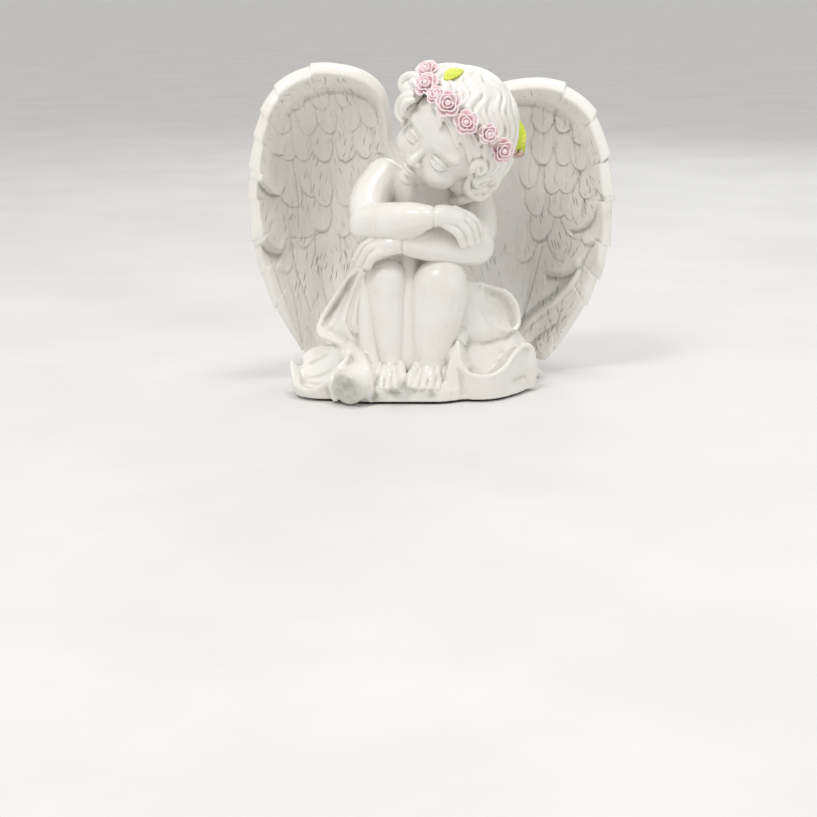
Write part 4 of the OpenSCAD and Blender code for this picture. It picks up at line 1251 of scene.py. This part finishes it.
# solid between a patch and its copy behind or below
def block(rows, shift=None, floorLevel=None, inset=0.0, across=60, down=36):
    grid = smoothGrid(rows, across, down)
    other = grid.copy()
    if floorLevel is None:
        other += np.array(shift, dtype=float)
    else:
        centre = grid.reshape(-1, 3).mean(axis=0)
        other[..., :2] += (centre[:2] - other[..., :2]) * inset
        other[..., 2] = floorLevel
    size = across * down
    points = np.concatenate([grid.reshape(-1, 3), other.reshape(-1, 3)])
    faces = []
    for j in range(down - 1):
        for i in range(across - 1):
            a = j * across + i
            faces += [(a, a + 1, a + across + 1, a + across),
                (size + a, size + a + across, size + a + across + 1, size + a + 1)]
    edge = list(range(across)) + [j * across + across - 1 for j in range(1, down)]
    edge += [(down - 1) * across + i for i in range(across - 2, -1, -1)] + [j * across for j in range(down - 2, 0,
        -1)]
    for a, b in zip(edge, edge[1:] + edge[:1]):
        faces.append((a, b, size + b, size + a))
    return facedOut(meshFrom("block", points, faces))


def slab(outline, low, high, count=90):
    ring, _ = closedPath([list(p) + [0] for p in outline], count)
    points = np.concatenate([ring + [0, 0, low], ring * [0.992, 0.992, 1] + [0, 0, high]])
    faces = [tuple(range(count)), tuple(range(count, 2 * count))]
    faces += [(i, (i + 1) % count, count + (i + 1) % count, count + i) for i in range(count)]
    return facedOut(meshFrom("slab", points, faces))


# the cloth behind, falling in soft folds from the waist
def foldedMound(levels, spreads, folds=13, count=220, down=40):
    path = smoothPath(levels, down)
    wide = smoothPath([list(s) + [0] for s in spreads], down)
    rows = []
    for k, (centre, spread) in enumerate(zip(path, wide)):
        share = k / (down - 1)
        row = []
        for i in range(count):
            a = 2 * math.pi * i / count
            wander = a + 0.16 * math.sin(2 * a + 1) + 0.22 * share
            fold = math.sin(folds * wander + 1.2 * math.sin(3 * a)) + 0.35 * math.sin(2.3 * folds * wander)
            swell = 1 + 0.075 * (1 - share) ** 0.7 * (fold - 0.3 * abs(fold)) * min(1, (1 - share) * 6)
            row.append((centre[0] + spread[0] * swell * math.cos(a), centre[1] + spread[1] * swell * math.sin(a),
                centre[2]))
        rows.append(row)
    points = np.array(rows).reshape(-1, 3)
    faces = [tuple(range(count)), tuple(range((down - 1) * count, down * count))]
    for k in range(down - 1):
        for i in range(count):
            j = (i + 1) % count
            faces.append((k * count + i, k * count + j, (k + 1) * count + j, (k + 1) * count + i))
    return facedOut(meshFrom("mound", points, faces))


groundOutline = [
    (-55, -42.5), (-43, -47.5), (-29.7, -51.8), (-16, -52), (-3, -52.2), (5, -52), (11.5, -49.5), (16, -47),
    (28, -46), (37, -40),
    (45.5, -28), (49, -15), (52, 4), (51, 22), (40, 33), (20, 37), (0, 35), (-20, 37), (-40, 33), (-55, 22), (-61, 4),
    (-60, -18), (-59.5, -33),
]


def makeFelt(finish):
    move = middle("ground_casting") - np.array((-1.0, -7.1, 3.6))
    piece = slab([(x * 0.965 + move[0], (y + 4) * 0.965 - 4 + move[1]) for x, y in groundOutline], 0, 1.3 + move[2])
    return finished(piece, "base_felt", finish, ["felt_sheet"])


def makeCloth():
    low = around("ground_casting", [1, 7.1, -2.4])[2]
    leftLobe = [  # the big fold that falls from the right hip, rim first
        [[-30.5, -21, 60.5], [-37, -18, 53.5], [-42.5, -16.5, 45.7], [-47, -16, 39], [-50.6, -16.5, 33],
            [-52.8, -19, 29], [-51.5, -23.5, 26], [-46.5, -27.5, 24.4], [-40, -31, 23]],
        [[-30, -18, 59], [-35, -13.5, 51], [-39.5, -11.5, 44], [-43.2, -11, 38], [-46, -12, 33.5], [-47, -15.5, 30.5],
            [-45.5, -20.5, 28.5], [-42, -25, 27], [-38, -29, 25.5]],
        [[-29, -22, 59], [-32.5, -22, 52], [-35, -22, 45.5], [-37, -22.5, 40], [-38.3, -24, 35.8], [-38.6, -26, 33],
            [-38, -28.5, 31], [-36.5, -30.5, 29], [-34.5, -32, 27]],
        [[-27, -26, 60], [-30.5, -27.5, 53], [-32.6, -29.5, 46], [-33.8, -31, 40.5], [-34.5, -32, 36.5],
            [-34.4, -33.5, 33.6], [-33.5, -34, 31.4], [-32, -34, 29.4], [-30, -33.5, 27.5]],
        [[-24, -24, 60], [-26, -26, 53], [-27, -28, 46], [-27.5, -29.5, 40], [-27.5, -30.5, 36], [-27.5, -31, 33],
            [-27, -31, 30], [-26, -30.5, 28], [-25, -30, 26]],
    ]
    leftFlap = [
        [[-65, -26, 15.8], [-63.6, -34, 9.9], [-61.9, -40.5, 6.6], [-56, -45.6, 4.9], [-50.1, -47.6, 7.2],
            [-44.2, -47.4, 12.6], [-40, -46, 17.3], [-37, -43.5, 20.3]],
        [[-61, -26.5, 12], [-59.2, -31.5, 7.4], [-56.6, -36.3, 4.9], [-52.6, -39.8, 4.4], [-48.4, -41, 6.2],
            [-44.2, -41, 10.6], [-40.6, -40.3, 14.8], [-37.4, -39, 18.3]],
        [[-58.6, -24, 13.6], [-54.6, -27, 11.2], [-51.4, -30, 10.2], [-48.6, -32.4, 10.2], [-45.4, -33.8, 12.2],
            [-42.6, -34.6, 15.6], [-40, -35, 18.6], [-37, -35, 21.8]],
        [[-60, -20.5, 15.2], [-54.6, -18, 18.7], [-49, -20, 20.8], [-45.4, -23, 21.7], [-42.2, -26, 22.5],
            [-40, -29, 23.4], [-38.5, -31.6, 24.3], [-36.4, -34, 25.4]],
    ]
    rightFlap = [
        [[12.4, -41, 27.8], [13.4, -46, 18.2], [18.6, -48.6, 13.6], [27.4, -48, 12.9], [34.8, -43, 16],
            [39.9, -35, 20.9], [44.6, -28.6, 23.4], [48.8, -26, 20.6], [51.2, -22.6, 8]],
        [[14, -38, 25], [16.6, -42, 14.6], [20.6, -43.6, 10.2], [27, -42.4, 9.6], [32.8, -38, 12.2],
            [37.4, -31.6, 17.2], [41.8, -26, 19.6], [45.4, -23, 15], [48, -20.6, 6]],
        [[14, -33.4, 25.4], [18, -36, 17.4], [22, -37, 12.6], [26.8, -35.4, 12.4], [31, -31.6, 14.6],
            [35.2, -26, 18.6], [39.6, -21.4, 20.4], [43.6, -19, 14], [46, -16, 6]],
        [[12.7, -29, 27.4], [18, -28, 26.6], [23, -26, 26], [28, -23, 25.8], [32, -20.5, 26.2], [36, -17.5, 26.9],
            [40.6, -14.5, 27.2], [46, -13.6, 20], [49, -12, 8]],
    ]
    rightSide = [
        [[6, -24, 56], [13, -27, 54], [19, -25, 52.4], [23.4, -21.6, 51.4]],
        [[12, -29, 46], [18.4, -28.6, 45.6], [23.8, -24.8, 46.2], [26.4, -19.6, 46]],
        [[13, -32, 38], [19.4, -31, 37.4], [25, -26.6, 37.9], [28.6, -19.6, 39]],
        [[13.5, -33.4, 30], [20, -32, 29.6], [26.8, -28.2, 30.5], [33, -21, 32]],
        [[13, -32, 24], [21, -30, 23.6], [30.1, -26.4, 25], [40, -18, 26]],
    ]
    frontCloth = [
        [[12.6, -41, 28], [8.8, -44.4, 19.5], [6.8, -47.6, 10], [6.6, -50.4, 2]],
        [[13.4, -42.4, 24], [11, -45.4, 17.5], [9.8, -47.6, 10], [9.6, -49.6, 2]],
        [[14.4, -44.6, 19], [13.4, -46, 14.5], [12.8, -47, 9], [12.8, -48.4, 2]],
        [[18, -45.6, 16], [17, -46, 12], [16.6, -46.4, 8], [16.6, -47, 2]],
    ]
    leaf = [
        [[22.4, -22.4, 51.6], [29, -21, 48.9], [36.4, -19.4, 46.4], [40.9, -18, 41.2], [42.6, -17.6, 36.4],
            [43, -18, 31.3], [41.4, -20, 27.6]],
        [[23.4, -21, 50], [28, -17.4, 46], [32.6, -15.4, 43], [35.6, -14.6, 38.6], [37.4, -15, 34.4],
            [38.6, -16.6, 30.6], [38.6, -19.4, 27.4]],
        [[23.8, -24.6, 47.4], [25, -24, 42.4], [25.6, -23.6, 38], [27.4, -23, 34.4], [30.2, -23.6, 31],
            [33.4, -24, 28.4], [36.4, -22.6, 27]],
    ]
    move = middle("drape_skirt") - np.array((-0.9, -4.0, 30.0))

    def placed(rows):
        return [[np.array(p) + move for p in row] for row in rows]

    def at(*p):
        return np.array(p, dtype=float) + move

    parts = [
        slab([tuple(at(x, y, 0)[:2]) for x, y in groundOutline], low, low + 5.2),
        block(placed(leftLobe), shift=(9, 15, -4)),
        patch(placed(leftLobe[:3]), cloth["sheet"]),
        block(placed(leftFlap), floorLevel=low, inset=0.10),
        patch(placed(leftFlap), cloth["sheet"]),
        block(placed(rightFlap), floorLevel=low, inset=0.05),
        patch(placed(rightFlap), cloth["sheet"]),
        block(placed(rightSide), shift=(-5, 14, -3)),
        patch(placed(leaf), 1.9),
        foldedMound([at(-1, 4, low), at(-2, 4, 14), at(-3, 4, 27), at(-4, 4, 40), at(-4, 4, 50), at(-4, 4, 56)],
            [(54, 30), (47, 27), (38, 23.5), (30, 21), (24, 19), (16, 13)]),
        rod([at(-38, -56.6, 8.2), at(-34.2, -51, 9.6), at(-29, -38, 13)], [7.6, 8.4, 7.0], sides=7, rounded=False),
        rod([at(-28.5, -50.5, 15), at(-31, -44, 18.6), at(-34, -36, 21.5), at(-36.5, -31, 24)], [2.6, 3.0, 2.8, 2.0]),
        rod([at(-27.6, -51.6, 13), at(-27, -52.6, 7), at(-26.6, -52.6, 3)], [2.2, 2.0, 1.8]),
        block(placed(frontCloth), shift=(2, 9, 0)),
        ball(at(-33, -28.5, 24), 5.5), ball(at(-36.4, -34.5, 18.6), 5.5), ball(at(8, -39, 10), 6.5),
        ball(at(10.6, -36, 20), 6.5), ball(at(12.4, -33, 27), 5.5),
        rod([at(-44, -48, 9), at(-42.6, -49.8, 3)], [2.6, 2.2]),
        rod([at(-27.4, -29, 52), at(-28, -33, 36), at(-27.4, -36.5, 22), at(-26, -42, 12)], [4.2, 4.6, 4.6, 4.2]),
        rod([at(-9.6, -27, 64), at(-9.6, -31.4, 48), at(-9.6, -33, 32), at(-9.6, -35.6, 13)], [5, 5.4, 6, 6]),
        rod([at(-30, -48, 5), at(-16, -48.6, 6), at(0, -48.6, 6.2), at(8, -46, 6)], [3.2, 3.0, 3.0, 3.4]),
        rod([at(-24, -34, 14), at(-10, -30, 18), at(8, -32, 16)], [7, 8, 7]),
    ]
    piece = welded(parts, cloth["voxel"], cloth["rounds"], "draped_cloth")
    creases = [  # path, points, width, depth
        ([(-27, -27, 57), (-33, -30, 44), (-35, -33, 33)], 12, 1.1, -0.7),
        ([(20, -29, 50), (23, -29, 40), (28, -28, 30)], 12, 1.1, -0.7),
        ([(16, -30, 48), (18, -33, 38), (18, -34, 29)], 12, 1.1, -0.7),
        ([(-58, -31, 7), (-52, -33, 9), (-44, -36, 13)], 14, 1.6, 0.5),
        ([(-61, -28, 12), (-55, -25, 13), (-48, -26, 17)], 14, 1.6, 0.5),
        ([(18, -44, 15), (24, -37, 17), (34, -28, 21)], 14, 1.6, 0.5),
        ([(28, -44.5, 14), (32, -36, 17.5), (40, -24, 21)], 14, 1.6, 0.5),
        ([(-46, -22, 30), (-42, -18, 40), (-36, -17, 52)], 14, 1.6, 0.5),
        ([(10.8, -47.6, 14), (10.4, -49.6, 8), (10.8, -50.4, 2)], 10, 0.9, 0.7),
        ([(14.4, -46.8, 12), (14.2, -48, 7), (14.8, -48.6, 2)], 10, 0.9, 0.7),
    ]
    for knots, count, width, depth in creases:
        score(piece, smoothPath(placed([knots])[0], count), width, depth)
    applied(piece, "SMOOTH", factor=0.5, iterations=4)
    points = spots(piece)
    points[:, 2] = np.maximum(points[:, 2], low)
    setSpots(piece, points)
    if len(piece.data.polygons) > cloth["mostFaces"]:
        applied(piece, "DECIMATE", ratio=cloth["mostFaces"] / len(piece.data.polygons))
    return finished(
        piece, "draped_cloth", bodyResin, ["drape_skirt", "drape_flap_right", "drape_flap_left", "cloth_roll",
            "ground_casting"], rounds=9
    )


# felt, and the CAD parts that keep their shape: plug and dowels
def feltFinish():
    look = _, tree, shader = newFinish("blackFelt")
    fuzz = grain(tree, 1400, 5, 0.7)
    shader.inputs["Roughness"].default_value = 0.95
    shader.inputs["Sheen Weight"].default_value = 0.6
    colour = mixed(tree, ramp(tree, fuzz, 0.35, 0.7), (0.012, 0.012, 0.013), (0.05, 0.05, 0.052))
    return dressed(look, colour, None, bump(tree, fuzz, 0.7, 0.0004))


def rubberFinish():
    look = _, tree, _ = newFinish("rubberPlug")
    cloud = grain(tree, 300, 4)
    colour = mixed(tree, ramp(tree, cloud, 0.35, 0.7), (0.10, 0.10, 0.10), (0.16, 0.158, 0.15))
    return dressed(look, colour, ramp(tree, cloud, 0.3, 0.7, 0.5, 0.7), bump(tree, cloud, 0.3, 0.0002))


def steelFinish():
    look = _, tree, shader = newFinish("drawnSteel")
    lines = grain(tree, 500, 5, 0.65)
    shader.inputs["Metallic"].default_value = 1.0
    colour = mixed(tree, ramp(tree, lines, 0.3, 0.7), (0.46, 0.45, 0.43), (0.62, 0.61, 0.59))
    return dressed(look, colour, ramp(tree, lines, 0.3, 0.7, 0.28, 0.46))


def buildEverything():
    makeUpperBody()
    makeCloth()
    makeFelt(feltFinish())
    hips = around("torso", [-3, 0.9, -30.7])
    knee, ankle = around("right_leg", [-2.1, -16, 19.1]), around("right_leg", [0, -21.4, -17.9])
    makeLeg(1, "right_leg", "right_foot", hips + [-13, 0, 0], knee, between(knee, ankle, 0.45) + [-0.3, 0.6, 0],
        ankle, -6, (9.6, 8.4, 6.0), "right_leg_and_foot")
    knee, ankle = around("left_leg", [-2.4, -18.2, 17.6]), around("left_leg", [-6.7, -21.4, -16.4])
    makeLeg(-1, "left_leg", "left_foot", hips + [13, 0, 0], knee, between(knee, ankle, 0.45) + [0.2, 0.8, 0], ankle,
        -16, (13.2, 11.9, 8.2), "left_leg_and_foot")
    for node, plan, name in (("right_wing", rightWing, "rightWingResin"), ("left_wing", leftWing, "leftWingResin")):
        makeWing(node, plan, wingFinish(name, plan["specks"], plan["grooveDirtAndShadowStrength"]))
    makeHead()
    makeHair()
    makeVine()
    rosePaint, leafPaint = roseFinish(), leafFinish()
    for i in range(7):
        makeRose("rose_%d" % (i + 1), i, rosePaint)
    for i in range(3):
        makeLeaf("leaf_%d" % (i + 1), i, leafPaint)
    steel = steelFinish()
    for node, finish in (("pour_plug", rubberFinish()), ("wing_dowels", steel), ("neck_dowel", steel)):
        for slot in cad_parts[node].material_slots:
            slot.material = finish


buildEverything()


# floor, lights and camera
studio = {
    "world": 0.64,
    "lights": [  # name, place, size, power, colour
        ("keyLight", (-0.35, -0.60, 0.95), 0.30, 4.0, (1, 0.985, 0.96)),
        ("fillLight", (0.85, -0.6, 0.45), 0.9, 1.0, (1, 0.99, 0.98)),
        ("topLight", (0.12, -0.05, 1.1), 0.35, 2.4, (1, 0.985, 0.965)),
        ("backLight", (0.3, 0.95, 0.7), 0.7, 1.8, (0.98, 0.99, 1)),
    ],
    "cameraAt": (-0.0096, -0.798, 0.1857), "cameraTilt": 75.9, "lens": 74.9,
}


def floorFinish():
    look = _, tree, _ = newFinish("paleFloor")
    cloud = grain(tree, 9, 4)
    colour = mixed(tree, ramp(tree, cloud, 0.3, 0.7), (0.76, 0.76, 0.755), (0.81, 0.81, 0.805))
    return dressed(look, colour, ramp(tree, cloud, 0.3, 0.7, 0.55, 0.7))


def areaLight(name, at, size, power, colour):
    deselect()
    bpy.ops.object.light_add(type="AREA", location=at)
    light = bpy.context.object
    light.name = name
    light.data.shape = "DISK"
    light.data.size = size
    light.data.energy = power
    light.data.color = colour
    aim = Vector((0, 0, 0.07)) - Vector(at)
    light.rotation_euler = aim.to_track_quat("-Z", "Y").to_euler()


deselect()
bpy.ops.mesh.primitive_plane_add(size=60, location=(0, 0, 0))
floor = bpy.context.object
floor.name = "floor"
bpy.ops.object.mode_set(mode="EDIT")
bpy.ops.mesh.subdivide(number_cuts=1)
bpy.ops.object.mode_set(mode="OBJECT")
floor.data.materials.append(floorFinish())

for light in studio["lights"]:
    areaLight(*light)
world = bpy.data.worlds.new("studioWorld")
world.use_nodes = True
sky = world.node_tree.nodes["Background"].inputs
sky["Color"].default_value = (1, 0.985, 0.965, 1)
sky["Strength"].default_value = studio["world"]
bpy.context.scene.world = world

deselect()
bpy.ops.object.camera_add(location=studio["cameraAt"], rotation=(math.radians(studio["cameraTilt"]), 0, 0))
camera = bpy.context.object
camera.data.lens = studio["lens"]
camera.data.sensor_width = 36
bpy.context.scene.camera = camera
bpy.context.scene.view_settings.view_transform = "Standard"
print("camera and lights placed")
